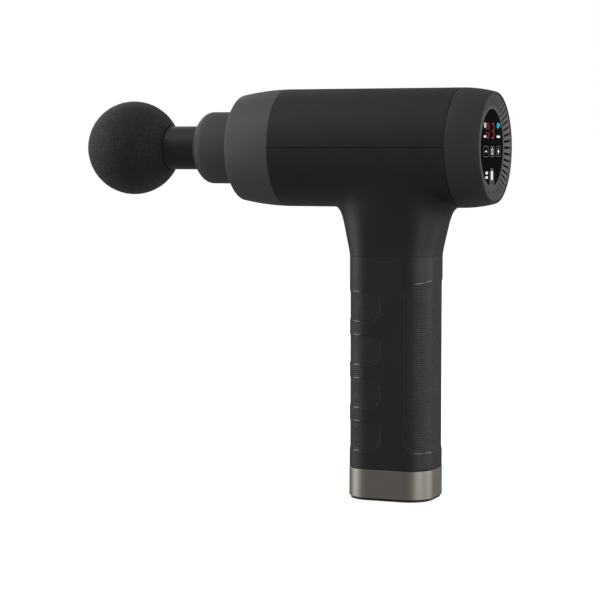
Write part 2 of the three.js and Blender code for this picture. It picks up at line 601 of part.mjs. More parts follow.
function battery() {
  const spots = [[-CELL.pairX, CELL.pairY], [CELL.pairX, CELL.pairY], [0, CELL.singleY]];
  const [z0, z1] = [CELL.bottom, CELL.bottom + CELL.length];
  spots.forEach(([x, y], i) => {
    place(stand, `battery_cell_${i + 1}`, post(z0, z1, CELL.r, 20).translate([x, y, 0]), cellWrap);
  });
  const tray = (from, to) => prism(GRIP, SHELL_WALL + GAP, from, to);
  place(stand, "cell_tray_lower", tray(z0 - GAP - TRAY_T, z0 - GAP), seal);
  place(stand, "cell_tray_upper", tray(z1 + GAP, z1 + GAP + TRAY_T), seal);
  const [w, h, under] = [CELL_BOARD.a, CELL_BOARD.b, z1 + CELL_BOARD.above];
  place(stand, "battery_board", box([-w, w], [-h, h], [under, under + CELL_BOARD.thick]), board);
}

// ---------------------------------------------------------------- base
function base() {
  const band = cut(prism(BAND, 0, PLATE_T + GAP, BAND_TOP), prism(BAND, BAND.wall, 0, BAND_TOP + 1));
  place(stand, "base_band", band, satinMetal);

  const corners = [[1, 1], [-1, 1], [-1, -1], [1, -1]].map(([i, j]) => [i * SCREW.x, j * SCREW.y]);
  const well = box(
    [ROCKER.x - ROCKER.length / 2 - 0.5, ROCKER.x + ROCKER.length / 2 + 0.5],
    [-ROCKER.width / 2 - 0.4, ROCKER.width / 2 + 0.4],
    [-1, BASE_TOP + 1],
  );
  const bore = (r, top, segments) => post(-1, top, r, segments);
  const plate = cut(
    joined(prism(BAND, 0.9, 0, PLATE_T), prism(BAND, BAND.wall + GAP, PLATE_T - 0.5, BASE_TOP)),
    well,
    bore(JACK.r + GAP, BASE_TOP + 1, 20).translate([JACK.x, 0, 0]),
    ...corners.map(([x, y]) => bore(SCREW.headR + GAP, 2.3 + GAP, 12).translate([x, y, 0])),
    ...corners.map(([x, y]) => bore(SCREW.shankR + GAP, BASE_TOP + 1, 8).translate([x, y, 0])),
  );
  place(stand, "base_plate", plate, stemBlack);
  corners.forEach(([x, y], i) => {
    const screw = joined(post(0.9, 2.3, SCREW.headR, 12), post(2, BASE_TOP + 2, SCREW.shankR, 8));
    place(stand, `base_screw_${i + 1}`, screw.translate([x, y, 0]), steel);
  });

  const j = JACK;
  const pinSeat = j.pinR + GAP;
  const jack = turnedZ(
    [[0.4, j.boreR], [0.4, j.r], [j.top, j.r], [j.top, pinSeat], [j.boreTop, pinSeat], [j.boreTop, j.boreR]],
    20,
  );
  place(stand, "charging_jack", jack.translate([j.x, 0, 0]), seal);
  place(stand, "jack_pin", post(2, j.top, j.pinR, 10).translate([j.x, 0, 0]), steel);

  const half = ROCKER.length / 2;
  const profile = new THREE.Shape();
  profile.moveTo(-half, -3.6);
  profile.lineTo(0, -2.75);
  profile.lineTo(half, -3.6);
  profile.lineTo(half - 0.4, 0.5);
  profile.lineTo(2, 2);
  profile.lineTo(-2, 2);
  profile.lineTo(-half + 0.4, 0.5);
  const rocker = new THREE.Group();
  rocker.position.set(ROCKER.x, 0, ROCKER.z);
  rocker.rotation.y = ROCKER.tilt;
  stand.add(rocker);
  place(rocker, "power_rocker", throughY(profile, ROCKER.width / 2), seal);
}

massageHead();
percussionShaft();
crankAndRotor();
driveChassis();
motorFixed();
noseCap();
frontCollar();
barrelShells();
rearCap();
ventGrille();
displayStack();
coolingFan();
handle();
battery();
base();

export default gun;
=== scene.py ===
import bpy
import bmesh
import json
import math
import numpy as np
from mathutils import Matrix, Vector
from mathutils.geometry import delaunay_2d_cdt


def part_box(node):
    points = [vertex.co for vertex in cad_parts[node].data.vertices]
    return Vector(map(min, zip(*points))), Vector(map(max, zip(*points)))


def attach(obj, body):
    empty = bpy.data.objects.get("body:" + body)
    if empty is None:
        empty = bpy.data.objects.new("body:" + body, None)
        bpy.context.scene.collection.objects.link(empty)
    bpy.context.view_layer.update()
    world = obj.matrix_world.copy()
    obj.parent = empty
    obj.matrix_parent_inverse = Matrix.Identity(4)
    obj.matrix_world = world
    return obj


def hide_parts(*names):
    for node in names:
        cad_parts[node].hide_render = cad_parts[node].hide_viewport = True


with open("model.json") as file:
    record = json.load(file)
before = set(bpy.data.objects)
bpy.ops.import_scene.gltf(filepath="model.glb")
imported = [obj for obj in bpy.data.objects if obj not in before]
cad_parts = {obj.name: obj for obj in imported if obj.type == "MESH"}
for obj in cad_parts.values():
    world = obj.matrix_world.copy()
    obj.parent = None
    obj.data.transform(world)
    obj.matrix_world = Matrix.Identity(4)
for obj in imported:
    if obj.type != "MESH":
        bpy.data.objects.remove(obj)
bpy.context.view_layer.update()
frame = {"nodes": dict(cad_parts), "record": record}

MM = 0.001
TAU = 2 * math.pi
QUARTER = math.pi / 2


def mm_box(node):
    """A CAD node's corners in millimetres."""
    low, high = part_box(node)
    return np.array(low) * 1000, np.array(high) * 1000


# ------------------------------------------------------------------ camera
camera = bpy.data.objects.new("camera", bpy.data.cameras.new("camera"))
bpy.context.collection.objects.link(camera)
bpy.context.scene.camera = camera
azimuth, elevation = math.radians(22.08), math.radians(4.106)
back = Vector((
    math.sin(azimuth) * math.cos(elevation),
    -math.cos(azimuth) * math.cos(elevation),
    math.sin(elevation),
))
camera.location = (0.36649, -1.03664, 0.18261)
camera.rotation_mode = "QUATERNION"
camera.rotation_quaternion = (-back).to_track_quat("-Z", "Y")
camera.data.sensor_width = 36
camera.data.lens = 125.95
camera.data.clip_start, camera.data.clip_end = 0.05, 60

# ------------------------------------------------------------------ dimensions, in mm
# Barrel: its axis runs along X through the ball's centre.
ball_low, ball_high = mm_box("massage_ball")
AXIS = (ball_low[2] + ball_high[2]) / 2
AT_AXIS = (0, 0, AXIS)
SEAM_FRONT, SEAM_REAR = mm_box("upper_housing")[0][0], mm_box("upper_housing")[1][0]
BARREL_R = mm_box("rear_cap")[1][1]
WALL = 2.6
GAP = 0.3
CORNER = 0.28
SHELL_EDGE = 0.3
SEAM_TILT = 0.09 / BARREL_R
SPIGOT_R, SPIGOT_BORE, SPIGOT_LENGTH = 28.1, 26.9, 3.2

# Neck: its reach along the barrel, its wrap round it, and what shapes the strings between.
NECK_FRONT, NECK_REAR = 33.3, 34.8
NECK_WRAP = math.radians(67)
NECK_LIFT, NECK_EDGE = 0.04, 0.12
RISE, RISE_SIDE = 10.1, 4.1
PULL, PULL_SIDE = 6.4, 8
SWELL_X, SWELL_Y, SWELL_EARLY = 1.5, 0.4, 0.75

# Rear face: the glass, and the dish of air slots round it as (radius, rise) corners.
LENS_X = mm_box("display_lens")[1][0]
DISH = ((20.9, 0), (21.7, 0.1), (23.2, 0.55), (27.3, 1.9))
DISH_R = DISH[-1][0]
SLOTS = 45
PRINT = 0.05
FIGURE_W, FIGURE_H = 2.0, 3.5
TENS, ONES = (-8.0, 8.6), (0.9, 8.6)
ICON_Z, CAPTION_Z = 11.4, 5.7

# Handle: sections as half length, half width and corner radius.
GRIP = (22.95, 19.0, 13.3)
NECK = (23.0, 19.1, 13.3)
BAND = (23.05, 19.1, 13.3)
HANDLE_X = (mm_box("base_band")[0][0] + mm_box("base_band")[1][0]) / 2
HANDLE_Z = mm_box("handle_shell")[0][2], mm_box("handle_shell")[1][2]
HANDLE_EDGE = 0.12
SHELL_WALL = 2.0
FINGERS = (1, 2, 3, 4)
POCKET, POCKET_GAP = 1.1, 0.1
PAD_DEPTH, PAD_THICK = 0.3, 0.7
LIP, LIP_WIDTH = 0.4, 0.8
BEAD, REAR_BEAD, BEAD_OUT = 0.27, 0.36, 0.15
RIB_PITCH = 0.95
FINGER_RIBS, REAR_RIBS, BRIDGE_RIBS = 0.14, 0.18, 0.18

# Base: places are from the handle's centre.
PLATE = 7
ROCKER_X, ROCKER_TILT, ROCKER_Z = -9, math.radians(7), 5
JACK_X = 9.5
SCREW_X, SCREW_Y = 15, 11.5


# ------------------------------------------------------------------ mesh helpers
class Shape:
    """Points in millimetres and faces, gathered ring by ring."""

    def __init__(self):
        self.points = []
        self.faces = []

    def add(self, points):
        start = len(self.points)
        self.points.extend(map(tuple, points))
        return np.arange(start, len(self.points))

    def bridge(self, a, b):
        """Quads between two closed rings of equal count."""
        for i in range(len(a)):
            j = (i + 1) % len(a)
            self.faces.append((a[i], a[j], b[j], b[i]))

    def rings(self, rings):
        """Closed rings, each joined to the next."""
        ids = [self.add(ring) for ring in rings]
        for a, b in zip(ids, ids[1:]):
            self.bridge(a, b)
        return ids

    def tube(self, rings):
        """Closed rings, each joined to the next and the last to the first."""
        ids = self.rings(rings)
        self.bridge(ids[-1], ids[0])


def make(name, shape, slot, replaced=(), body="housing", finish=None, sharp=32, weighted=True):
    """A mesh object that rides on a body, in the material of its slot or of a finer finish."""
    mesh = bpy.data.meshes.new(name)
    points = [tuple(c * MM for c in p) for p in shape.points]
    mesh.from_pydata(points, [], [tuple(map(int, f)) for f in shape.faces])
    bm = bmesh.new()
    bm.from_mesh(mesh)
    bmesh.ops.remove_doubles(bm, verts=bm.verts, dist=1.5e-6)
    bmesh.ops.dissolve_degenerate(bm, edges=bm.edges, dist=1e-7)
    bmesh.ops.recalc_face_normals(bm, faces=bm.faces)
    bm.to_mesh(mesh)
    bm.free()
    mesh.shade_smooth()
    mesh.set_sharp_from_angle(angle=math.radians(sharp))
    obj = bpy.data.objects.new(name, mesh)
    bpy.context.collection.objects.link(obj)
    if weighted:
        modifier = obj.modifiers.new("normals", "WEIGHTED_NORMAL")
        modifier.keep_sharp = True
    mesh.materials.append(material(slot))
    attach(obj, body)
    if replaced:
        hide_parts(*replaced)
    if finish:
        mesh.materials[0] = material(finish)
    return obj


def rounded(corners, steps=5):
    """A closed outline of (x, y, fillet radius) corners, with the fillets drawn."""
    out = []
    for i, (x, y, f) in enumerate(corners):
        p = np.array((x, y), float)
        if f <= 0:
            out.append(p)
            continue
        a = np.array(corners[i - 1][:2], float) - p
        b = np.array(corners[(i + 1) % len(corners)][:2], float) - p
        la, lb = np.linalg.norm(a), np.linalg.norm(b)
        a, b = a / la, b / lb
        half = math.acos(max(-1, min(1, float(a @ b)))) / 2
        if half > 1.5:
            out.append(p)
            continue
        t = min(f / math.tan(half), 0.49 * la, 0.49 * lb)
        centre = p + (a + b) / np.linalg.norm(a + b) * t / math.cos(half)
        v0, v1 = p + a * t - centre, p + b * t - centre
        phi = math.pi - 2 * half
        for k in range(steps + 1):
            w = k / steps
            out.append(centre + (math.sin((1 - w) * phi) * v0 + math.sin(w * phi) * v1) / math.sin(phi))
    return np.array(out)


def oblong(x0, x1, y0, y1, first=0, last=0, steps=5):
    """A four-cornered outline with one fillet along y0 and another along y1."""
    return rounded([(x0, y0, first), (x1, y0, first), (x1, y1, last), (x0, y1, last)], steps)


def round_edge(width, count, height=None):
    """(inwards, down) stations round an edge, from the front's flat to the wall."""
    height = width if height is None else height
    turns = np.linspace(0, QUARTER, count)
    return [(width * (1 - math.sin(a)), height * (1 - math.cos(a))) for a in turns]


def elliptic(x, r, length, rise, start, end, steps):
    """Corners along an ellipse about (x, r), from `start` to `end` degrees; 0 is its front, 90 its crest."""
    turns = np.radians(np.linspace(start, end, steps + 1))
    return [(x - length * math.cos(t), r + rise * math.sin(t), 0) for t in turns]


def flared(x, r, end_x, stations):
    """Corners from (x, r) along a parabola that ends flat in the barrel's skin at end_x."""
    return [(x + (end_x - x) * t, r + (BARREL_R - r) * (1 - (1 - t) ** 2), 0) for t in stations]


def turned(outline, segments=160, about="x", centre=AT_AXIS, arc=None, bevel=0.2):
    """A closed (along, radius) outline turned about X or Z, all round or through an arc from +Z or +X."""
    shape = Shape()
    outline = np.array(outline, float)

    def ring(angle, profile):
        x, r = profile[:, 0], np.maximum(profile[:, 1], 0)
        c, s = r * math.cos(angle), r * math.sin(angle)
        points = np.stack([x, s, c], 1) if about == "x" else np.stack([c, s, x], 1)
        return points + np.array(centre)

    if arc is None:
        shape.tube([ring(TAU * k / segments, outline) for k in range(segments)])
        return shape
    start, end = arc
    widest = outline[:, 1].max()
    rim = [(turn / widest, inwards) for inwards, turn in round_edge(bevel, 5)[:-1]]
    middle = np.linspace(start + bevel / widest, end - bevel / widest, segments)
    sections = [(start + turn, inwards) for turn, inwards in rim]
    sections += [(angle, 0) for angle in middle]
    sections += [(end - turn, inwards) for turn, inwards in reversed(rim)]
    ids = shape.rings([ring(angle, inset(outline, inwards)) for angle, inwards in sections])
    shape.faces += [tuple(ids[0]), tuple(ids[-1])]
    return shape


def area(loop):
    x, y = loop[:, 0], loop[:, 1]
    return 0.5 * float(np.sum(x * np.roll(y, -1) - np.roll(x, -1) * y))


def inset(loop, distance):
    """The outline moved towards its own inside."""
    loop = np.asarray(loop, float)
    if distance == 0:
        return loop
    turn = 1 if area(loop) > 0 else -1
    step = np.roll(loop, -1, 0) - loop
    step /= np.maximum(np.linalg.norm(step, axis=1, keepdims=True), 1e-12)
    after = np.stack([-step[:, 1], step[:, 0]], 1) * turn
    before = np.roll(after, 1, 0)
    scale = 1 / np.maximum(1 + np.sum(after * before, 1, keepdims=True), 0.4)
    return loop + distance * (after + before) * scale


def wanted(loop, hole):
    """An outer loop runs counter-clockwise and a hole clockwise."""
    loop = np.asarray(loop, float)
    return loop[::-1] if (area(loop) > 0) == hole else loop


def offset(loop, distance, hole):
    """The loop moved into the material round a hole, or inside an outer loop."""
    return inset(loop, -distance if hole else distance)


def inside(points, loops):
    """Even-odd test of points against all the loops together."""
    x, y = points[:, 0], points[:, 1]
    odd = np.zeros(len(points), bool)
    for loop in loops:
        for (ax, ay), (bx, by) in zip(loop, np.roll(loop, -1, 0)):
            crosses = (ay > y) != (by > y)
            if crosses.any():
                at = ax + (y - ay) / (by - ay + 1e-300) * (bx - ax)
                odd ^= crosses & (x < at)
    return odd


def room(points, loops, most):
    """Each point's distance from the nearest corner of the loops, up to a limit."""
    nearest = np.full(len(points), float(most))
    for x, y in np.vstack(loops):
        nearest = np.minimum(nearest, np.hypot(points[:, 0] - x, points[:, 1] - y))
    return nearest


def fill(shape, loops, place, extra=None, gap=0.4):
    """Triangles between flat loops, carried onto the surface that place() gives."""
    points, edges = [], []
    for loop in loops:
        start = len(points)
        points += [Vector(p) for p in loop]
        edges += [(start + i, start + (i + 1) % len(loop)) for i in range(len(loop))]
    if extra is not None and len(extra):
        extra = np.asarray(extra, float)
        extra = extra[inside(extra, loops)]
        extra = extra[room(extra, loops, 2 * gap) > gap]
        points += [Vector(p) for p in extra]
    vertices, _, faces, _, _, _ = delaunay_2d_cdt(points, edges, [], 0, 1e-6)
    flat_points = np.array([tuple(v) for v in vertices])
    faces = [f for f in faces if len(f) >= 3]
    centres = np.array([flat_points[list(f)].mean(0) for f in faces])
    chosen = inside(centres, loops)
    ids = shape.add(place(flat_points))
    shape.faces += [tuple(ids[i] for i in f) for f, keep in zip(faces, chosen) if keep]


def slab(outer, holes, place, depth, bevel=0.25, hole_bevel=None, extra=None, walls=None, steps=4):
    """A plate with rounded rims: place(points, depth) puts flat points on the surface, depth below its
    front. A wall runs straight down, or through the (inwards, down) stations walls[loop number] gives."""
    shape = Shape()
    hole_bevel = bevel if hole_bevel is None else hole_bevel
    loops = [(wanted(outer, False), bevel, False)] + [(wanted(h, True), hole_bevel, True) for h in holes]
    fronts, backs = [], []
    for i, (loop, rim, hole) in enumerate(loops):
        path = round_edge(rim, steps + 1) + (walls or {}).get(i, [(0, depth)])
        rings = [offset(loop, inwards, hole) for inwards, _ in path]
        shape.rings([place(ring, down) for ring, (_, down) in zip(rings, path)])
        fronts.append(rings[0])
        backs.append(rings[-1])
    fill(shape, fronts, lambda p: place(p, 0), extra)
    fill(shape, backs, lambda p: place(p, depth), extra)
    return shape


def circle(r, angles, centre=(0, 0)):
    return np.stack([centre[0] + r * np.cos(angles), centre[1] + r * np.sin(angles)], 1)


def disc(r, n=96, centre=(0, 0)):
    return circle(r, np.arange(n) * TAU / n, centre)


def rectangle(w, h, r, centre=(0, 0), steps=6):
    """A rectangle of half sizes w and h with round corners."""
    x, y = centre
    return rounded([(x + w, y - h, r), (x + w, y + h, r), (x - w, y + h, r), (x - w, y - h, r)], steps)


def stadium(a, b, half, n=6):
    """A slot of round ends between two points."""
    a, b = np.array(a, float), np.array(b, float)
    d = math.atan2(*(b - a)[::-1])
    turn = math.pi * np.arange(n + 1) / n
    return np.vstack([circle(half, d - QUARTER + turn, b), circle(half, d + QUARTER + turn, a)])


class Section:
    """A rounded rectangle about the handle's centre, measured along its edge from the front towards -Y."""

    def __init__(self, a, b, r):
        self.r = r
        self.p, self.q, self.quarter = a - r, b - r, math.pi * r / 2
        self.half = self.q + self.quarter + 2 * self.p + self.quarter + self.q
        self.length = 2 * self.half

    def at(self, s, depth=0):
        """The place s along the edge, and depth under it."""
        s = (np.asarray(s, float) + self.half) % self.length - self.half
        side = np.where(s < 0, -1.0, 1.0)
        t = np.abs(s)
        p, q, r, k = self.p, self.q, self.r, self.quarter
        f1 = np.clip((t - q) / r, 0, QUARTER)
        f2 = np.clip((t - q - k - 2 * p) / r, 0, QUARTER)
        along = np.clip(t - q - k, 0, 2 * p)
        tail = np.clip(t - q - 2 * k - 2 * p, 0, q)
        front, rear = t <= q + k, t > q + k + 2 * p
        x = np.where(front, -p - r * np.cos(f1), np.where(rear, p + r * np.sin(f2), -p + along))
        front_y = -np.where(t < q, t, q + r * np.sin(f1))
        y = np.where(front, front_y, np.where(rear, -q - r * np.cos(f2) + tail, -q - r))
        nx = np.where(front, -np.cos(f1), np.where(rear, np.sin(f2), 0))
        ny = np.where(front, -np.sin(f1), np.where(rear, -np.cos(f2), -1))
        return HANDLE_X + x - nx * depth, side * (y - ny * depth)

    def s_of(self, x):
        """Where the side face or rear corner reaches x, from the handle's centre."""
        if x <= self.p:
            return self.q + self.quarter + x + self.p
        return self.q + self.quarter + 2 * self.p + self.r * math.asin((x - self.p) / self.r)


def swept(section, outline, n=200):
    """A closed (inwards, z) outline carried round a rounded rectangle."""
    shape = Shape()
    s = np.arange(n) * section.length / n
    shape.tube([np.stack([*section.at(s, inwards), np.full(n, z)], 1) for inwards, z in outline])
    return shape


# ------------------------------------------------------------------ materials
class Finish:
    """A material in the making, with nodes that read the object's coordinates."""

    def __init__(self, name, values=()):
        self.material = bpy.data.materials.new(name)
        self.material.use_nodes = True
        self.tree = self.material.node_tree
        self.inputs = self.tree.nodes["Principled BSDF"].inputs
        self.place = self.node("TexCoord").outputs["Object"]
        for key, value in dict(values).items():
            self.inputs[key].default_value = value

    def node(self, kind, values=(), links=()):
        """A node with its inputs' values and sources, each by the input's name."""
        node = self.tree.nodes.new("ShaderNode" + kind)
        for key, value in dict(values).items():
            node.inputs[key].default_value = value
        for key, source in dict(links).items():
            self.tree.links.new(source, node.inputs[key])
        return node

    def noise(self, scale, detail=3, stretch=None):
        vector = self.place
        if stretch:
            vector = self.node("Mapping", {"Scale": stretch}, {"Vector": vector}).outputs["Vector"]
        return self.node("TexNoise", {"Scale": scale, "Detail": detail}, {"Vector": vector}).outputs["Fac"]

    def colour(self, value, stops, socket="Base Color"):
        """Colours the shader by a value, through two (place, colour) stops."""
        node = self.node("ValToRGB", links={"Fac": value})
        for element, (at, colour) in zip(node.color_ramp.elements, stops):
            element.position = at
            element.color = (*colour, 1)
        self.tree.links.new(node.outputs["Color"], self.inputs[socket])

    def roughness(self, value, low, high):
        """Roughness that runs from low to high as the value goes from 0.3 to 0.7."""
        limits = {"From Min": 0.3, "From Max": 0.7, "To Min": low, "To Max": high}
        node = self.node("MapRange", limits, {"Value": value})
        self.tree.links.new(node.outputs["Result"], self.inputs["Roughness"])

    def relief(self, height, strength, distance, below=None):
        """Relief from a height, on top of another relief where `below` is given."""
        node = self.node("Bump", {"Strength": strength, "Distance": distance}, {"Height": height})
        if below is not None:
            self.tree.links.new(below, node.inputs["Normal"])
        self.tree.links.new(node.outputs["Normal"], self.inputs["Normal"])
        return node.outputs["Normal"]


def shade(colour, k):
    return tuple(min(1, c * k) for c in colour)


def tones(colour, low, high):
    """Stops from a darker to a lighter tone of one colour."""
    return [(0.3, shade(colour, low)), (0.7, shade(colour, high))]


def moulded(name, colour, rough, grain=2600, depth=0.00004, specular=0.5, spread=0.12):
    """Moulded plastic: a fine spark-eroded grain, slow changes of tone and gloss."""
    made = Finish(name, {"Specular IOR Level": specular})
    made.colour(made.noise(28, 4), tones(colour, 1 - spread, 1 + spread))
    made.roughness(made.noise(90, 5), rough - 0.04, rough + 0.05)
    made.relief(made.noise(grain, 2), 0.35, depth)
    return made.material


def rubber(name, colour, rough, sheen=0.0):
    """Rubber: a matt grain with slow changes of tone."""
    made = Finish(name, {"Specular IOR Level": 0.45, "Sheen Weight": sheen})
    made.colour(made.noise(40, 4), tones(colour, 0.85, 1.15))
    made.roughness(made.noise(160, 4), rough - 0.05, rough + 0.06)
    made.relief(made.noise(1800, 3), 0.4, 0.00006)
    return made.material


def foam(name, light, dark):
    """Closed-cell foam: skin of fine beads with darker pits."""
    made = Finish(name, {"Specular IOR Level": 0.47, "Sheen Weight": 0.08, "Sheen Roughness": 0.6})
    cells = made.node("TexVoronoi", {"Scale": 1150}, {"Vector": made.place})
    mottle = made.noise(620, 5)
    total = made.node("Math", links={0: cells.outputs["Distance"], 1: mottle})
    total.operation = "ADD"
    height = total.outputs["Value"]
    made.colour(height, [(0.5, light), (1.0, dark)])
    made.roughness(mottle, 0.66, 0.8)
    made.relief(height, 0.75, 0.0003)
    return made.material


def metal(name, colour, rough, stretch, scale, anisotropy, streak, depth=0.00002):
    """Brushed or ground metal: fine streaks in colour, gloss and relief."""
    made = Finish(name, {"Metallic": 1, "Anisotropic": anisotropy})
    streaks = made.noise(scale, 4, stretch)
    made.colour(streaks, tones(colour, 1 - streak, 1 + streak))
    made.roughness(streaks, rough - 0.06, rough + 0.08)
    cloud = made.relief(made.noise(60, 4), 0.1, 0.00005)
    made.relief(streaks, 0.25, depth, cloud)
    return made.material


def glossy(name, colour, rough, specular):
    """Dark polished plastic or glass, faintly smudged."""
    made = Finish(name, {"Specular IOR Level": specular})
    made.colour(made.noise(45, 3), tones(colour, 0.8, 1.2))
    made.roughness(made.noise(300, 5), rough - 0.02, rough + 0.05)
    made.relief(made.noise(120, 2), 0.03, 0.00005)
    return made.material


def glowing(name, colour, strength):
    """A lit figure or light pipe."""
    made = Finish(name, {"Emission Strength": strength, "Base Color": (*shade(colour, 0.4), 1)})
    made.colour(made.noise(700, 2), tones(colour, 0.9, 1.0), "Emission Color")
    made.roughness(made.noise(400, 2), 0.35, 0.5)
    return made.material


def tracks(name, mask, mask_dark, track):
    """A circuit board: solder mask over a fine grid of tracks."""
    made = Finish(name)
    colours = {"Color1": (*mask, 1), "Color2": (*mask_dark, 1), "Mortar": (*track, 1)}
    values = {"Scale": 230, "Mortar Size": 0.03, **colours}
    brick = made.node("TexBrick", values, {"Vector": made.place})
    made.tree.links.new(brick.outputs["Color"], made.inputs["Base Color"])
    made.roughness(made.noise(200, 4), 0.25, 0.4)
    made.relief(brick.outputs["Fac"], 0.3, 0.00005)
    return made.material


def windings(name, dark, light):
    """Lacquered copper wire wound on the stator's teeth."""
    made = Finish(name, {"Metallic": 1})
    wave = made.node("TexWave", {"Scale": 420, "Distortion": 1.2}, {"Vector": made.place})
    wave.bands_direction = "Z"
    made.colour(wave.outputs["Fac"], [(0.2, dark), (0.8, light)])
    made.roughness(made.noise(300, 3), 0.28, 0.42)
    made.relief(wave.outputs["Fac"], 0.6, 0.0001)
    return made.material


# The record's slots, then the finer finishes of single pieces: a maker and what it is given.
FINISHES = {
    "barrel_plastic": (moulded, (0.0105, 0.0105, 0.011), 0.5),
    "grey_plastic": (moulded, (0.082, 0.082, 0.084), 0.58),
    "grille_plastic": (moulded, (0.075, 0.075, 0.078), 0.45),
    "handle_plastic": (moulded, (0.0115, 0.0115, 0.012), 0.52, 2000, 0.00005),
    "stem_plastic": (moulded, (0.0105, 0.0105, 0.011), 0.42, 3000, 0.00001),
    "black_plastic": (moulded, (0.011, 0.011, 0.0115), 0.5, 1800),
    "grip_rubber": (rubber, (0.018, 0.018, 0.0185), 0.56, 0.02),
    "seal_rubber": (rubber, (0.012, 0.012, 0.012), 0.55),
    "foam": (foam, (0.019, 0.019, 0.0195), (0.006, 0.006, 0.0062)),
    "satin_metal": (metal, (0.313, 0.288, 0.252), 0.39, (1, 1, 14), 420, 0.3, 0.04),
    "display_glass": (glossy, (0.0022, 0.0026, 0.0028), 0.08, 0.004),
    "key_gloss": (glossy, (0.003, 0.0035, 0.0037), 0.1, 0.006),
    "light_pipe": (glowing, (0.95, 0.97, 1.0), 0.8),
    "circuit_board": (tracks, (0.01, 0.085, 0.03), (0.008, 0.07, 0.028), (0.03, 0.16, 0.06)),
    "nylon": (moulded, (0.62, 0.6, 0.54), 0.42, 1200, 0.00005, 0.5, 0.05),
    "drive_alloy": (metal, (0.56, 0.57, 0.58), 0.36, (1, 1, 1), 1400, 0, 0.12, 0.00006),
    "steel": (metal, (0.48, 0.48, 0.49), 0.25, (6, 6, 1), 700, 0.2, 0.08),
    "stator_iron": (windings, (0.22, 0.09, 0.035), (0.45, 0.2, 0.08)),
    "cell_case": (moulded, (0.035, 0.12, 0.38), 0.28, 900, 0.00002),
    "cap_grey": (moulded, (0.034, 0.034, 0.035), 0.5),
    # The groove beads' finish: the near-black colour is painted shade for the pads' grooves, and the high
    # gloss gives their lines of light.
    "pad_bead": (moulded, (0.005, 0.005, 0.0055), 0.26, 2600, 0.00001, 1.0),
    "digit_red": (glowing, (0.24, 0.003, 0.016), 1.0),
    "icon_white": (glowing, (0.95, 0.97, 1.0), 0.7),
    "icon_cyan": (glowing, (0.01, 0.5, 0.62), 1.0),
    "print_grey": (moulded, (0.16, 0.16, 0.165), 0.45, 2500, 0.000005),
    "digit_dim": (glossy, (0.004, 0.008, 0.006), 0.12, 0.006),
}
TITLES = {"foam": "ball_foam", "stator_iron": "stator_windings"}
materials = {}


def material(name):
    """The material of a slot or finish, made at its first use."""
    if name not in materials:
        maker, *settings = FINISHES[name]
        materials[name] = maker(TITLES.get(name, name), *settings)
    return materials[name]


# ------------------------------------------------------------------ massage ball, stem and O-ring
STEM_TIP, STEM_STEP, STEM_SHOULDER, STEM_END = -162.7, -131, -100, -76
TENON_R, STEM_R, PLUG_R = 9, 11.65, 7.9
RING_X, RING_R, RING_THICK = -88, 7.16, 0.82
GROOVE, GROOVE_R = 1.15, 6


def build_ball():
    """The foam ball, with the stem's hole and a light crumple of the skin."""
    ball_r = (ball_high[1] - ball_low[1]) / 2
    centre = ball_low[0] + ball_r
    mouth, bore = STEM_R + GAP, TENON_R + GAP
    end = 180 - math.degrees(math.asin((mouth + 0.45) / ball_r))
    r = ball_r - 0.12
    outer = elliptic(centre, 0, r, r, 0, end, 150)
    rim = centre + math.sqrt(r * r - mouth * mouth)
    hole = [
        (rim, mouth, 0.5), (STEM_STEP - GAP, mouth, 0), (STEM_STEP - GAP, bore, 0), (STEM_TIP - GAP, bore, 0),
        (STEM_TIP - GAP, 0, 0),
    ]
    ball = make("massage_ball_foam", turned(rounded(outer + hole), 300), "foam", ["massage_ball"], "head")
    grain = bpy.data.textures.new("foam_grain", "CLOUDS")
    grain.noise_scale = 0.0011
    grain.noise_depth = 2
    relief = ball.modifiers.new("grain", "DISPLACE")
    relief.texture = grain
    relief.texture_coords = "LOCAL"
    relief.strength = 0.0002
    relief.mid_level = 0.5


def build_stem():
    """The stem, from the tenon in the ball to the plug in the shaft, and the ring in its groove."""
    groove = [
        (RING_X - GROOVE, PLUG_R, 0.2), (RING_X - GROOVE, GROOVE_R, 0.2), (RING_X + GROOVE, GROOVE_R, 0.2),
        (RING_X + GROOVE, PLUG_R, 0.2),
    ]
    stem = rounded([
        (STEM_TIP, 0, 0), (STEM_TIP, TENON_R, 1.5), (STEM_STEP, TENON_R, 0), (STEM_STEP, STEM_R, 0.3),
        (STEM_SHOULDER, STEM_R, 0.5), (STEM_SHOULDER, PLUG_R, 0), *groove, (STEM_END, PLUG_R, 1.0),
        (STEM_END, 0, 0),
    ][::-1])
    make("head_stem_turned", turned(stem, 144), "stem_plastic", ["head_stem"], "head")
    ring = disc(RING_THICK, 20, (RING_X, RING_R))
    make("stem_o_ring_round", turned(ring, 96), "seal_rubber", ["stem_o_ring"], "head")


# ------------------------------------------------------------------ nose cap and collar
def build_collar():
    """The stepped ring in the nose: an elliptic dome with the shaft's round mouth."""
    mouth, x, r, length, rise = 12.3, -103.7, -2.5, 10.3, 21.7
    foot, rear, bore = -84.9, -82.3, 16.4
    start = math.degrees(math.asin((mouth - r) / rise))
    dome = elliptic(x, r, length, rise, start, 90, 36)
    tip = dome[0][0]
    dome[0] = (*dome[0][:2], 0.5)
    back_side = [
        (foot, r + rise, 0.2), (foot, 24, 0.3), (rear, 24, 0.3), (rear, bore, 0.3), (tip + 5, bore, 0.5),
        (tip + 3.2, mouth, 0.4),
    ]
    collar = turned(rounded(dome + back_side), 192)
    make("front_collar_turned", collar, "grey_plastic", ["front_collar"])


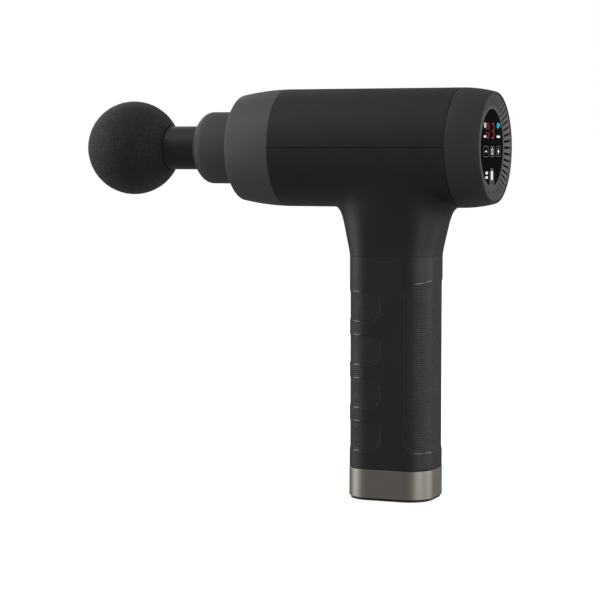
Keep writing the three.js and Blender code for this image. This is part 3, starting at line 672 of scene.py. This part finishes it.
def build_nose():
    """The nose cap: a round front edge, a flare into the barrel and a spigot inside the shells."""
    hole, x, r, length, rise = 19.5, -84.3, 15.7, 3.9, 12.5
    flat_x, rear = -57.5, SEAM_FRONT - GAP
    start = math.degrees(math.asin((hole - r) / rise))
    fillet = elliptic(x, r, length, rise, start, 90, 30)
    fillet[0] = (*fillet[0][:2], 0.3)
    stations = np.linspace(0, (rear - x) / (flat_x - x), 24)[1:]
    flare = flared(x, r + rise, flat_x, stations)
    flare[-1] = (*flare[-1][:2], CORNER)
    spigot = rear + SPIGOT_LENGTH
    inner = [
        (rear, SPIGOT_R, 0.2), (spigot, SPIGOT_R, 0.3), (spigot, SPIGOT_BORE, 0.2), (-78.2, SPIGOT_BORE, 1),
        (-85.2, 25, 1), (-85.2, hole, 0.2),
    ]
    nose = turned(rounded(fillet + flare + inner), 224)
    make("nose_cap_turned", nose, "grey_plastic", ["nose_cap"])


# ------------------------------------------------------------------ barrel shells
def neck_reach(c, depth):
    """How far along the barrel the neck ends, on the side that the cosine c points to."""
    return np.where(c > 0, NECK_REAR, NECK_FRONT) - depth


def neck_points(u, t, depth):
    """The neck: Bezier strings from the handle's section into the barrel's skin."""
    c, s = np.cos(u), np.sin(u)
    a, b, r = (n - depth for n in NECK)
    ca, sa = np.abs(c), np.abs(s)
    d = np.minimum(a / np.maximum(ca, 1e-9), b / np.maximum(sa, 1e-9))
    px, py = a - r, b - r
    corner = (d * ca > px) & (d * sa > py)
    dot = ca * px + sa * py
    d = np.where(corner, dot + np.sqrt(np.maximum(dot ** 2 - (px * px + py * py - r * r), 0)), d)
    x0, y0 = HANDLE_X + d * c, d * s
    radius = BARREL_R - depth
    reach = neck_reach(c, depth)
    beta = NECK_WRAP * s
    end = np.stack([reach * c, radius * np.sin(beta), -radius * np.cos(beta)], 1)
    along = np.stack([reach * c, radius * beta * np.cos(beta), radius * beta * np.sin(beta)], 1)
    along /= np.linalg.norm(along, axis=1, keepdims=True)
    pull = (PULL + PULL_SIDE * s * s)[:, None]
    low = HANDLE_Z[1] + NECK_LIFT - AXIS
    p0 = np.stack([x0, y0, np.full_like(x0, low)], 1)
    p1 = np.stack([x0, y0, low + RISE + RISE_SIDE * s * s], 1)
    p2 = end - along * pull
    out = (1 - t) ** 3 * p0 + 3 * t * (1 - t) ** 2 * p1 + 3 * t * t * (1 - t) * p2 + t ** 3 * end
    swell = math.sin(math.pi * t ** SWELL_EARLY) ** 2
    return out + np.stack([SWELL_X * c * swell, SWELL_Y * s * swell, np.full_like(c, AXIS)], 1)


def on_barrel(flat_points, depth):
    """Points of the unrolled half cylinder, as (x, angle from the bottom), on the barrel's skin."""
    r = BARREL_R - depth
    x, turn = flat_points[:, 0], flat_points[:, 1]
    return np.stack([x, r * np.sin(turn), AXIS - r * np.cos(turn)], 1)


def rim_and_edge(c, s, depth, margin):
    """Matching points on the neck's rim and on the edge of the unrolled half cylinder."""
    rim = np.stack([neck_reach(c, depth) * c, NECK_WRAP * s], 1)
    r = BARREL_R - depth
    limit = QUARTER - SEAM_TILT - margin / r
    low, high = np.array((SEAM_FRONT + margin, -limit)), np.array((SEAM_REAR - margin, limit))
    bound = np.where(rim > 0, high, low)
    k = np.min(np.abs(bound) / np.maximum(np.abs(rim), 1e-9), axis=1)
    edge = rim * k[:, None]
    for x in (low[0], high[0]):
        for turn in (low[1], high[1]):
            corner = np.array((x, turn))
            edge[np.argmin(np.hypot(*(edge - corner).T * np.array([[1], [r]])))] = corner
    return rim, edge


def build_upper_shell():
    wall = oblong(SEAM_FRONT, SEAM_REAR, BARREL_R - WALL, BARREL_R, 0, SHELL_EDGE)
    limit = QUARTER - SEAM_TILT
    upper = turned(wall, 140, arc=(-limit, limit), bevel=SHELL_EDGE)
    make("upper_shell", upper, "barrel_plastic", ["upper_housing"])


def build_lower_shell():
    """The lower shell and its neck in one skin, from the neck's foot out to the seams and back inside."""
    u = np.arange(288) * TAU / 288
    c, s = np.cos(u), np.sin(u)
    rings = [neck_points(u, 0.0, inwards) + np.array((0, 0, up)) for inwards, up in round_edge(NECK_EDGE, 5)]
    rings += [neck_points(u, t, 0) for t in np.linspace(0.012, 1, 44)]
    rim, edge = rim_and_edge(c, s, 0, NECK_EDGE)
    rings += [on_barrel(rim + (edge - rim) * k ** 1.3, 0) for k in np.linspace(0, 1, 15)[1:]]
    _, full = rim_and_edge(c, s, 0, 0)
    for a in np.linspace(0, QUARTER, 5)[1:]:
        rings.append(on_barrel(edge + (full - edge) * math.sin(a), NECK_EDGE * (1 - math.cos(a))))
    rim, edge = rim_and_edge(c, s, WALL, 0)
    rings += [on_barrel(rim + (edge - rim) * k, WALL) for k in np.linspace(1, 0, 8)]
    rings += [neck_points(u, t, WALL) for t in np.linspace(1, 0, 14)[1:]]
    shape = Shape()
    shape.tube(rings)
    make("lower_shell", shape, "barrel_plastic", ["lower_housing"])


def build_liners():
    """Dark strips behind the seams along the barrel, and gaskets behind those at its ends."""
    strip = oblong(SEAM_FRONT, SEAM_REAR, SPIGOT_R - 0.9, SPIGOT_R, 0.2, 0.2, 2)
    half = 0.06
    for i, middle in enumerate((-QUARTER, QUARTER)):
        liner = turned(strip, 12, arc=(middle - half, middle + half), bevel=0.1)
        make(f"barrel_seam_strip_{i + 1}", liner, "black_plastic")
    top, slack = BARREL_R - 0.45, 0.02
    for end, x in (("front", SEAM_FRONT - GAP), ("rear", SEAM_REAR)):
        section = oblong(x + slack, x + GAP - slack, SPIGOT_R, top)
        make(f"barrel_{end}_gasket", turned(section, 140), "black_plastic")


# ------------------------------------------------------------------ rear cap, grille and display
def dish(r):
    """The dish's place along X at each radius."""
    radii, rises = zip(*DISH)
    return LENS_X + np.interp(r, radii, rises)


def facing(x):
    """Puts flat (y, z) points, z from the axis, on a plane or dish that faces +X."""
    def place(points, depth):
        points = np.asarray(points)
        at = x(np.hypot(points[:, 0], points[:, 1])) if callable(x) else np.full(len(points), float(x))
        return np.stack([at - depth, points[:, 0], points[:, 1] + AXIS], 1)
    return place


def notched_disc(r, w, top):
    """A disc with the light tab's notch, w wide to each side, cut into its bottom."""
    foot = math.asin(w / r)
    outer = circle(r, np.linspace(-QUARTER + foot, 1.5 * math.pi - foot, 140))
    notch = circle(w, np.linspace(math.pi, 0, 17), (0, top - w))
    return np.vstack([outer, notch])


def build_cap():
    """The rear cap: it tapers from the barrel to a round crown, and has a spigot inside the shells."""
    crest_x, crest_r, x, r, flat_x = 54.6, 27.9, 53.1, 29.0, 36.6
    front, bore, seat_x = SEAM_REAR + GAP, 27.5, 52.35
    spigot = front - SPIGOT_LENGTH
    taper = flared(x, r, flat_x, np.linspace(1, 0, 24))
    taper[0] = (front, BARREL_R, CORNER)
    crown = [(x + 1.15, r - 0.4, 0.8), (crest_x, crest_r, 0.2), (crest_x - 0.25, bore, 0.12)]
    inner = [
        (seat_x, bore, 0), (seat_x, SPIGOT_BORE, 0), (spigot, SPIGOT_BORE, 0.2), (spigot, SPIGOT_R, 0.3),
        (front, SPIGOT_R, 0.2),
    ]
    cap = turned(rounded(taper + crown + inner), 224)
    make("rear_cap_turned", cap, "grey_plastic", ["rear_cap"], finish="cap_grey")


def build_grille():
    """The dish with its ring of air slots, and the light's tab at the bottom."""
    slots = []
    for a in np.arange(SLOTS) * TAU / SLOTS:
        d = np.array((math.cos(a), math.sin(a)))
        slots.append(stadium(d * 21.95, d * 26.2, 0.55, 5))
    bars = (20.6, 21.3, 22.1, 22.9, 23.7, 24.6, 25.6, 26.6)
    middles = (np.arange(SLOTS) + 0.5) * TAU / SLOTS
    between = [(r * math.cos(a), r * math.sin(a)) for a in middles for r in bars]
    light = stadium((0, -17.0), (0, -12.9), 1.5, 8)
    holes = [notched_disc(19.8, 3.9, -10.2), light, *slots]
    grille = slab(disc(DISH_R, 180), holes, facing(dish), 1.6, 0.2, 0.22, between, steps=3)
    make("vent_grille_slotted", grille, "grille_plastic", ["vent_grille"], sharp=40)
    pipe = slab(stadium((0, -15.5), (0, -13.0), 1.15, 10), [], facing(LENS_X + 0.1), 1.6, 0.3)
    make("status_light_pipe", pipe, "light_pipe", ["status_light"])


def key_centres():
    """The keys' places on the glass as (y, z from the axis)."""
    places = {}
    for name in ("minus", "power", "plus"):
        low, high = mm_box(f"{name}_key")
        places[name] = ((low[1] + high[1]) / 2, (low[2] + high[2]) / 2 - AXIS)
    return places


def build_glass(centres):
    """The display's glass with a window for each key, and the keys."""
    windows = [rectangle(4.8, 3.6, 1.9, centre) for centre in centres.values()]
    glass = slab(notched_disc(19.5, 4.2, -9.9), windows, facing(LENS_X), 1.4, 0.3, 0.2)
    make("display_window", glass, "display_glass", ["display_lens"])
    for name, centre in centres.items():
        key = slab(rectangle(4.5, 3.3, 1.6, centre), [], facing(LENS_X), 2.5, 0.35, steps=5)
        make(f"{name}_key_cap", key, "key_gloss", [f"{name}_key"], f"{name}_button")


def printed(name, outlines, finish, body="housing"):
    """Thin lit or printed shapes just proud of the glass, each an outline with its holes."""
    shape = Shape()
    for outline, holes in outlines:
        part = slab(outline, holes, facing(LENS_X + PRINT), PRINT, 0.01, steps=1)
        start = len(shape.points)
        shape.points += part.points
        shape.faces += [tuple(i + start for i in f) for f in part.faces]
    slot = "light_pipe" if body == "housing" else "key_gloss"
    make(name, shape, slot, body=body, finish=finish, weighted=False)


def figure(centre, thick, strokes):
    """A seven-segment figure: a top, b and c right, d bottom, e and f left, g middle."""
    x, y = centre
    w, h = FIGURE_W, FIGURE_H
    mitre, half = 0.4, thick / 2
    ends = {
        "a": ((-w, h), (w, h)), "d": ((-w, -h), (w, -h)), "g": ((-w, 0), (w, 0)),
        "b": ((w, 0), (w, h)), "c": ((w, -h), (w, 0)), "e": ((-w, -h), (-w, 0)), "f": ((-w, 0), (-w, h)),
    }
    out = []
    for key in strokes:
        (ax, ay), (bx, by) = ends[key]
        a, b = np.array((x + ax, y + ay)), np.array((x + bx, y + by))
        d = (b - a) / np.linalg.norm(b - a)
        tip, side = d * half, np.array((-d[1], d[0])) * half
        a, b = a + d * mitre, b - d * mitre
        out.append((np.array([a, a + tip - side, b - tip - side, b, b - tip + side, a + tip + side]), []))
    return out


def bar(x, y, w, h, r=0.15):
    return (rectangle(w, h, r, (x, y), 2), [])


def build_readout():
    """The glass's lit figures, those left dark, and the icons."""
    printed("display_digits", figure(TENS, 0.95, "abcdef") + figure(ONES, 0.95, "abcdg"), "digit_red")
    printed("display_digit_off", figure(TENS, 0.9, "g") + figure(ONES, 0.9, "ef"), "digit_dim")
    cell_at, drop_at = (-12.7, ICON_Z), (9.6, ICON_Z)
    cell = (rectangle(1.4, 1.2, 0.4, cell_at, 3), [rectangle(1.05, 0.85, 0.2, cell_at, 2)])
    battery = [cell, bar(-11.1, ICON_Z, 0.2, 0.5), bar(-12.95, ICON_Z, 0.6, 0.5)]
    captions = [
        bar(-12.8, CAPTION_Z, 1.7, 0.55), bar(10.6, CAPTION_Z, 2.8, 0.55), bar(-9.5, -12.8, 1.9, 0.65),
        bar(-9.5, -15.1, 1.9, 0.6),
    ]
    printed("display_icons", battery + captions, "icon_white")
    drop = [(disc(1.5, 24, drop_at), [disc(0.8, 20, drop_at)])]
    drop += [bar(12.6, ICON_Z + 0.8, 1.0, 0.3), bar(12.6, ICON_Z - 0.2, 1.0, 0.3)]
    printed("display_icon_blue", drop, "icon_cyan")


def build_key_prints(centres):
    """A fine frame round each key, and its sign."""
    for name, centre in centres.items():
        frame_line = [(rectangle(4.05, 2.85, 1.25, centre), [rectangle(3.8, 2.6, 1.05, centre)])]
        printed(f"{name}_key_outline", frame_line, "print_grey", f"{name}_button")
    length, half = 1.5, 0.32
    printed("minus_key_sign", [bar(*centres["minus"], length, half)], "icon_white", "minus_button")
    x, y = centres["power"]
    a = np.radians(np.linspace(125, 415, 26))
    ring = (np.vstack([circle(1.75, a, (x, y)), circle(1.25, a[::-1], (x, y))]), [])
    printed("power_key_sign", [ring, bar(x, y + 1.35, 0.25, 0.8)], "icon_white", "power_button")
    arm = np.array([(length, -half), (length, half), (half, half)])
    cross = np.vstack([arm @ np.array(((c, s), (-s, c))) for c, s in ((1, 0), (0, 1), (-1, 0), (0, -1))])
    printed("plus_key_sign", [(cross + np.array(centres["plus"]), [])], "icon_white", "plus_button")


# ------------------------------------------------------------------ handle
grip = Section(*GRIP)


def on_grip(points, depth):
    """Points of the unrolled grip, as (s, z), on its skin or at a depth under it."""
    points = np.asarray(points)
    x, y = grip.at(points[:, 0], depth)
    return np.stack([x, y, points[:, 1]], 1)


def finger_outline(i, grow=0.0):
    """A finger pad's outline on the unrolled grip."""
    low, high = mm_box(f"finger_pad_{i}")
    reach = grip.s_of(-2.6)
    middle, half = (low[2] + high[2]) / 2, (high[2] - low[2]) / 2
    return rectangle(reach + grow, half + grow, 6.2 + grow, (0, middle), 10)


def rear_outline(grow=0.0):
    """The rear pad's outline on the unrolled grip, arched at its top."""
    low, high = mm_box("rear_grip_pad")
    left, middle = grip.s_of(low[0] - HANDLE_X) - grow, grip.half
    right = 2 * middle - left
    bottom, top, rise, shoulder = low[2] - grow, 112.8 + grow, 2.6, 9
    spread = middle - left - 5
    arch = [
        (s, top + rise * math.cos((s - middle) / spread * QUARTER) ** 0.9, 0)
        for s in np.linspace(right - shoulder, left + shoulder, 15)
    ]
    return rounded([
        (left, bottom, 6 + grow), (right, bottom, 6 + grow), (right, top + 0.2, shoulder + grow), *arch,
        (left, top + 0.2, shoulder + grow),
    ], 10)


def dense(loop, step=1.2):
    """The loop with extra points along it, so that it follows the curved surface."""
    out = []
    for a, b in zip(loop, np.roll(loop, -1, 0)):
        n = max(1, int(math.ceil(np.linalg.norm(b - a) / step)))
        out += [a + (b - a) * k / n for k in range(n)]
    return np.array(out)


def grid(s0, s1, z0, z1, ds, dz):
    s, z = np.arange(s0, s1, ds), np.arange(z0, z1, dz)
    return np.stack(np.meshgrid(s, z), -1).reshape(-1, 2)


def ribbed(points, amount, fade):
    """Depth of the fine horizontal ribs at each point."""
    return amount * (0.5 + 0.5 * np.cos(points[:, 1] * TAU / RIB_PITCH)) * fade


def bridges():
    """The (bottom, top) heights of the skin between neighbouring finger pads."""
    pads = [mm_box(f"finger_pad_{i}") for i in FINGERS]
    return [(lower[1][2], upper[0][2]) for upper, lower in zip(pads, pads[1:])]


def bridge_ribs(points):
    """Depth of the ribs on the bridges, which fade out towards the pads and the sides."""
    points = np.asarray(points)
    depth = np.zeros(len(points))
    margin, half = 0.7, 26
    for bottom, top in bridges():
        inwards = np.minimum(points[:, 1] - bottom - margin, top - margin - points[:, 1])
        fade = np.clip((half - np.abs(points[:, 0])) / 3, 0, 1) * np.clip(inwards / 0.4, 0, 1)
        depth += ribbed(points, BRIDGE_RIBS, fade)
    return depth


def skin_rim(stations, rows):
    """The rim of one half of the unrolled skin."""
    count, middle = len(stations), rows[1:-1]
    low = np.stack([stations, np.full(count, rows[0])], 1)
    high = np.stack([stations[::-1], np.full(count, rows[-1])], 1)
    right = np.stack([np.full(len(middle), stations[-1]), middle], 1)
    left = np.stack([np.full(len(middle), stations[0]), middle[::-1]], 1)
    return np.vstack([low, right, high, left])


def sink_pocket(shape, outline):
    """Adds a pad's pocket with its rounded lip, and returns the lip's outline on the skin."""
    loop = wanted(outline, True)
    path = round_edge(LIP_WIDTH, 7, LIP) + [(0, POCKET - 0.1), (-0.05, POCKET)]
    rings = [offset(loop, inwards, True) for inwards, _ in path]
    shape.rings([on_grip(ring, down) for ring, (_, down) in zip(rings, path)])
    fill(shape, [rings[-1]], lambda p: on_grip(p, POCKET), grid(-80, 160, *HANDLE_Z, 3, 3), 1)
    return rings[0]


def on_skin(points):
    return on_grip(points, 0)


def on_ribbed_skin(points):
    return on_grip(points, bridge_ribs(points))


def build_skin():
    """The handle's shell: a front half with the finger pockets and ribbed bridges, and a rear half."""
    z0, z1 = HANDLE_Z
    shape = Shape()
    fingers = [dense(finger_outline(i, POCKET_GAP)) for i in FINGERS]
    rear = dense(rear_outline(POCKET_GAP))
    cut = grip.s_of(4.3)
    rows = np.linspace(z0 + HANDLE_EDGE, z1 - HANDLE_EDGE, 90)
    front_s, rear_s = np.linspace(-cut, cut, 81), np.linspace(cut, grip.length - cut, 81)
    rib_step = 0.32
    for stations, pockets, step in ((front_s, fingers, rib_step), (rear_s, [rear], 2.4)):
        opened = [sink_pocket(shape, pocket) for pocket in pockets]
        extra = grid(stations[0] + 1, stations[-1] - 1, z0 + 2, z1 - 2, 1.3, step)
        place = on_skin
        if step == rib_step:
            s, z = np.abs(extra[:, 0]), extra[:, 1]
            near = np.any([(z > bottom) & (z < top) & (s < 28) for bottom, top in bridges()], axis=0)
            coarse = np.abs((z / (8 * rib_step)) % 1 - 0.5) < 0.07
            extra = extra[near | coarse]
            place = on_ribbed_skin
        fill(shape, [skin_rim(stations, rows), *opened], place, extra, 0.3)
    stations = np.concatenate([front_s, rear_s[1:-1]])
    ends = []
    for z, way in ((z0, 1), (z1, -1)):
        path = [(down, way * inwards) for inwards, down in round_edge(HANDLE_EDGE, 5)] + [(SHELL_WALL, 0)]
        rings = [on_grip(np.stack([stations, np.full(len(stations), z + up)], 1), down) for down, up in path]
        ends.append(shape.rings(rings)[-1])
    shape.bridge(*ends)
    make("handle_skin", shape, "handle_plastic", ["handle_shell"], sharp=38)


def build_bead(pad, outline, half):
    """Glossy flat-topped bead in the groove round a pad, just under the handle's skin. Its near-black colour
    is painted shade for the groove; its lines of light come from its gloss.
    """
    top, foot = 0.08, 0.75
    loop = wanted(outline, True)
    profile = oblong(-half, half, foot, top, 0, 0.04, 2)
    shape = Shape()
    shape.tube([on_grip(offset(loop, out, True), depth) for out, depth in profile])
    make(f"{pad}_bead", shape, "grip_rubber", finish="pad_bead", sharp=60)


def build_pad(pad, outline, span, relief):
    """A rubber pad with a rounded rim and ribs that fade out before it."""
    low, high = mm_box(pad)
    loop = wanted(outline, False)

    def place(points, depth):
        points = np.asarray(points)
        fade = np.clip((room(points, [loop], 9) - 0.7) / 0.5, 0, 1)
        return on_grip(points, depth + PAD_DEPTH + (ribbed(points, relief, fade) if depth == 0 else 0))

    extra = grid(*span, low[2] + 0.3, high[2] + 3, 1.5, RIB_PITCH / 4)
    shape = slab(outline, [], place, PAD_THICK, LIP, extra=extra, steps=5)
    make(f"{pad}_ribbed", shape, "grip_rubber", [pad], sharp=50)


def build_handle():
    build_skin()
    for i in FINGERS:
        build_pad(f"finger_pad_{i}", dense(finger_outline(i)), (-36, 36), FINGER_RIBS)
        build_bead(f"finger_pad_{i}", dense(finger_outline(i, BEAD_OUT)), BEAD)
    build_pad("rear_grip_pad", dense(rear_outline()), (45, 100), REAR_RIBS)
    build_bead("rear_grip_pad", dense(rear_outline(BEAD_OUT)), REAR_BEAD)


# ------------------------------------------------------------------ base
def build_band():
    low, high = mm_box("base_band")
    z0, z1, thick = low[2], high[2], 1.9
    outline = rounded([(0, z0, 0.3), (0, z1, 0.35), (thick, z1, 0.2), (thick, z0, 0.2)])
    band = swept(Section(*BAND), outline, 240)
    make("base_band_brushed", band, "satin_metal", ["base_band"])


def build_plate(spots):
    """The base plate: a step at its edge, the rocker's well, the jack's hole and the screws' recesses."""
    band = Section(*BAND)
    edge = np.stack(band.at(np.arange(180) * band.length / 180, 0.9), 1)
    well = rectangle(7.2, 4.6, 0.8, (HANDLE_X + ROCKER_X, 0))
    jack = disc(4.7, 48, (HANDLE_X + JACK_X, 0))
    recesses = [disc(2.6, 32, spot) for spot in spots]
    walls = {0: [(0, 1.0), (1.3, 1.0), (1.3, PLATE)]}
    walls.update({3 + i: [(0, 2.6), (-1.1, 2.6), (-1.1, PLATE)] for i in range(len(spots))})

    def underside(points, depth):
        points = np.asarray(points)
        return np.stack([points[:, 0], points[:, 1], np.full(len(points), float(depth))], 1)

    plate = slab(edge, [well, jack, *recesses], underside, PLATE, 0.3, 0.25, walls=walls)
    make("base_plate_moulded", plate, "black_plastic", ["base_plate"])


def build_screw(number, sx, sy):
    """A pan head with a hexagon socket, on its shank. The profile is (z, radius, hexagonal or not)."""
    n = 48
    a = np.arange(n) * TAU / n
    hexagon = math.cos(math.pi / 6) / np.cos((a % (math.pi / 3)) - math.pi / 6)
    head, seat, shank, tip = 2.0, 2.3, 1.2, 9.0
    profile = [
        (head, 0.0, False), (head, 1.15, True), (0.98, 1.15, True), (0.9, 1.3, True), (0.9, 1.9, False),
        (1.02, 2.2, False), (1.3, seat, False), (seat, seat, False), (seat, shank, False),
        (tip - 0.2, shank, False), (tip, shank - 0.2, False), (tip, 0.0, False),
    ]
    rings = []
    for z, r, hexagonal in profile:
        radius = r * (hexagon if hexagonal else np.ones(n))
        rings.append(np.stack([sx + radius * np.cos(a), sy + radius * np.sin(a), np.full(n, z)], 1))
    shape = Shape()
    shape.rings(rings)
    make(f"base_screw_{number}_socket", shape, "steel", [f"base_screw_{number}"])


def build_jack():
    low, high = mm_box("charging_jack")
    at = ((low[0] + high[0]) / 2, 0, 0)
    mouth, outer, bore, floor_z, end = 3.2, 4.4, 1.3, 9, 12
    barrel = rounded([
        (0.4, mouth, 0.3), (0.4, outer, 0.3), (end, outer, 0.3), (end, bore, 0), (floor_z, bore, 0),
        (floor_z, mouth, 0),
    ][::-1], 4)
    make("charging_jack_barrel", turned(barrel, 64, "z", at), "black_plastic", ["charging_jack"])
    pin = rounded([(2, 0, 0), (2, 1, 0.45), (end, 1, 0), (end, 0, 0)][::-1], 4)
    make("jack_pin_turned", turned(pin, 32, "z", at), "steel", ["jack_pin"])


def build_rocker():
    """The power rocker, drawn in side view, tilted and carried across its well."""
    half, shoulder, width, edge = 6.7, 0.4, 8.4, 0.35
    profile = rounded([
        (-half, -3.6, 0.4), (0, -2.75, 3), (half, -3.6, 0.4), (half - shoulder, 0.5, 0.3), (2, 2, 0.5),
        (-2, 2, 0.5), (-half + shoulder, 0.5, 0.3),
    ])
    c, s = math.cos(ROCKER_TILT), math.sin(ROCKER_TILT)

    def place(points, depth):
        along, up = np.asarray(points).T
        x = HANDLE_X + ROCKER_X + along * c + up * s
        return np.stack([x, np.full(len(x), depth - width / 2), ROCKER_Z - along * s + up * c], 1)

    walls = {0: [(inwards, width - down) for inwards, down in reversed(round_edge(edge, 4))]}
    rocker = slab(profile, [], place, width, edge, walls=walls)
    make("power_rocker_cap", rocker, "black_plastic", ["power_rocker"], "rocker")


def build_base():
    ways = ((1, 1), (-1, 1), (-1, -1), (1, -1))
    spots = [(HANDLE_X + i * SCREW_X, j * SCREW_Y) for i, j in ways]
    build_band()
    build_plate(spots)
    for number, (x, y) in enumerate(spots, 1):
        build_screw(number, x, y)
    build_jack()
    build_rocker()


centres = key_centres()
build_ball()
build_stem()
build_collar()
build_nose()
build_upper_shell()
build_lower_shell()
build_liners()
build_cap()
build_grille()
build_glass(centres)
build_readout()
build_key_prints(centres)
build_handle()
build_base()

# ------------------------------------------------------------------ carried-over CAD nodes
for part in frame["record"]["subparts"]:
    node = frame["nodes"][part["node"]]
    if node.hide_render:
        continue
    finish = material(part["material_slot"])
    node.data.materials.clear()
    node.data.materials.append(finish)


# ------------------------------------------------------------------ floor, backdrop and lights
def bright_floor(name, size, at):
    """A square that glows a little, so that it stays near white all over."""
    mesh = bpy.data.meshes.new(name)
    h = size / 2
    mesh.from_pydata([(-h, -h, 0), (h, -h, 0), (h, h, 0), (-h, h, 0)], [], [(0, 1, 2, 3)])
    obj = bpy.data.objects.new(name, mesh)
    bpy.context.collection.objects.link(obj)
    obj.location = at
    obj.visible_glossy = False
    obj.visible_diffuse = False
    made = bpy.data.materials.new(name)
    made.use_nodes = True
    shader = made.node_tree.nodes["Principled BSDF"]
    shader.inputs["Base Color"].default_value = (0.92, 0.92, 0.92, 1)
    shader.inputs["Roughness"].default_value = 0.9
    shader.inputs["Emission Color"].default_value = (1, 1, 1, 1)
    shader.inputs["Emission Strength"].default_value = 0.82
    mesh.materials.append(made)


def softbox(name, at, size, power):
    """A rectangular light that faces the middle of the object and isn't seen itself."""
    light = bpy.data.lights.new(name, "AREA")
    light.shape = "RECTANGLE"
    light.size, light.size_y = size
    light.energy = power
    obj = bpy.data.objects.new(name, light)
    bpy.context.collection.objects.link(obj)
    obj.location = at
    obj.rotation_mode = "QUATERNION"
    obj.rotation_quaternion = (Vector((0, 0, 0.14)) - Vector(at)).to_track_quat("-Z", "Y")
    obj.visible_camera = False


def studio():
    """A world that is white to the camera and dimmer as a light."""
    made = bpy.data.worlds.new("studio")
    made.use_nodes = True
    tree = made.node_tree
    ambient = tree.nodes["Background"]
    sweep = tree.nodes.new("ShaderNodeBackground")
    for node, strength in ((ambient, 0.23), (sweep, 1.0)):
        node.inputs["Color"].default_value = (1, 1, 1, 1)
        node.inputs["Strength"].default_value = strength
    path = tree.nodes.new("ShaderNodeLightPath")
    mix = tree.nodes.new("ShaderNodeMixShader")
    tree.links.new(path.outputs["Is Camera Ray"], mix.inputs["Fac"])
    tree.links.new(ambient.outputs["Background"], mix.inputs[1])
    tree.links.new(sweep.outputs["Background"], mix.inputs[2])
    tree.links.new(mix.outputs["Shader"], tree.nodes["World Output"].inputs["Surface"])
    return made


bright_floor("floor", 24, (0, 0, -0.0005))
softbox("top_softbox", (-0.7, -0.1, 1.3), (1.1, 0.9), 1.5)
softbox("rear_left_softbox", (-1.1, 0.9, 0.75), (0.9, 0.9), 3.2)
softbox("upper_left_softbox", (-1.0, -0.6, 1.1), (0.8, 0.8), 2.3)
softbox("left_softbox", (-1.3, -0.35, 0.3), (0.9, 1.2), 8.2)
softbox("right_softbox", (1.17, 0.52, 0.35), (1.1, 1.2), 6.7)
softbox("front_right_softbox", (1.15, -0.62, 0.35), (0.9, 1.1), 7.4)
bpy.context.scene.world = studio()
bpy.context.scene.view_settings.view_transform = "Standard"
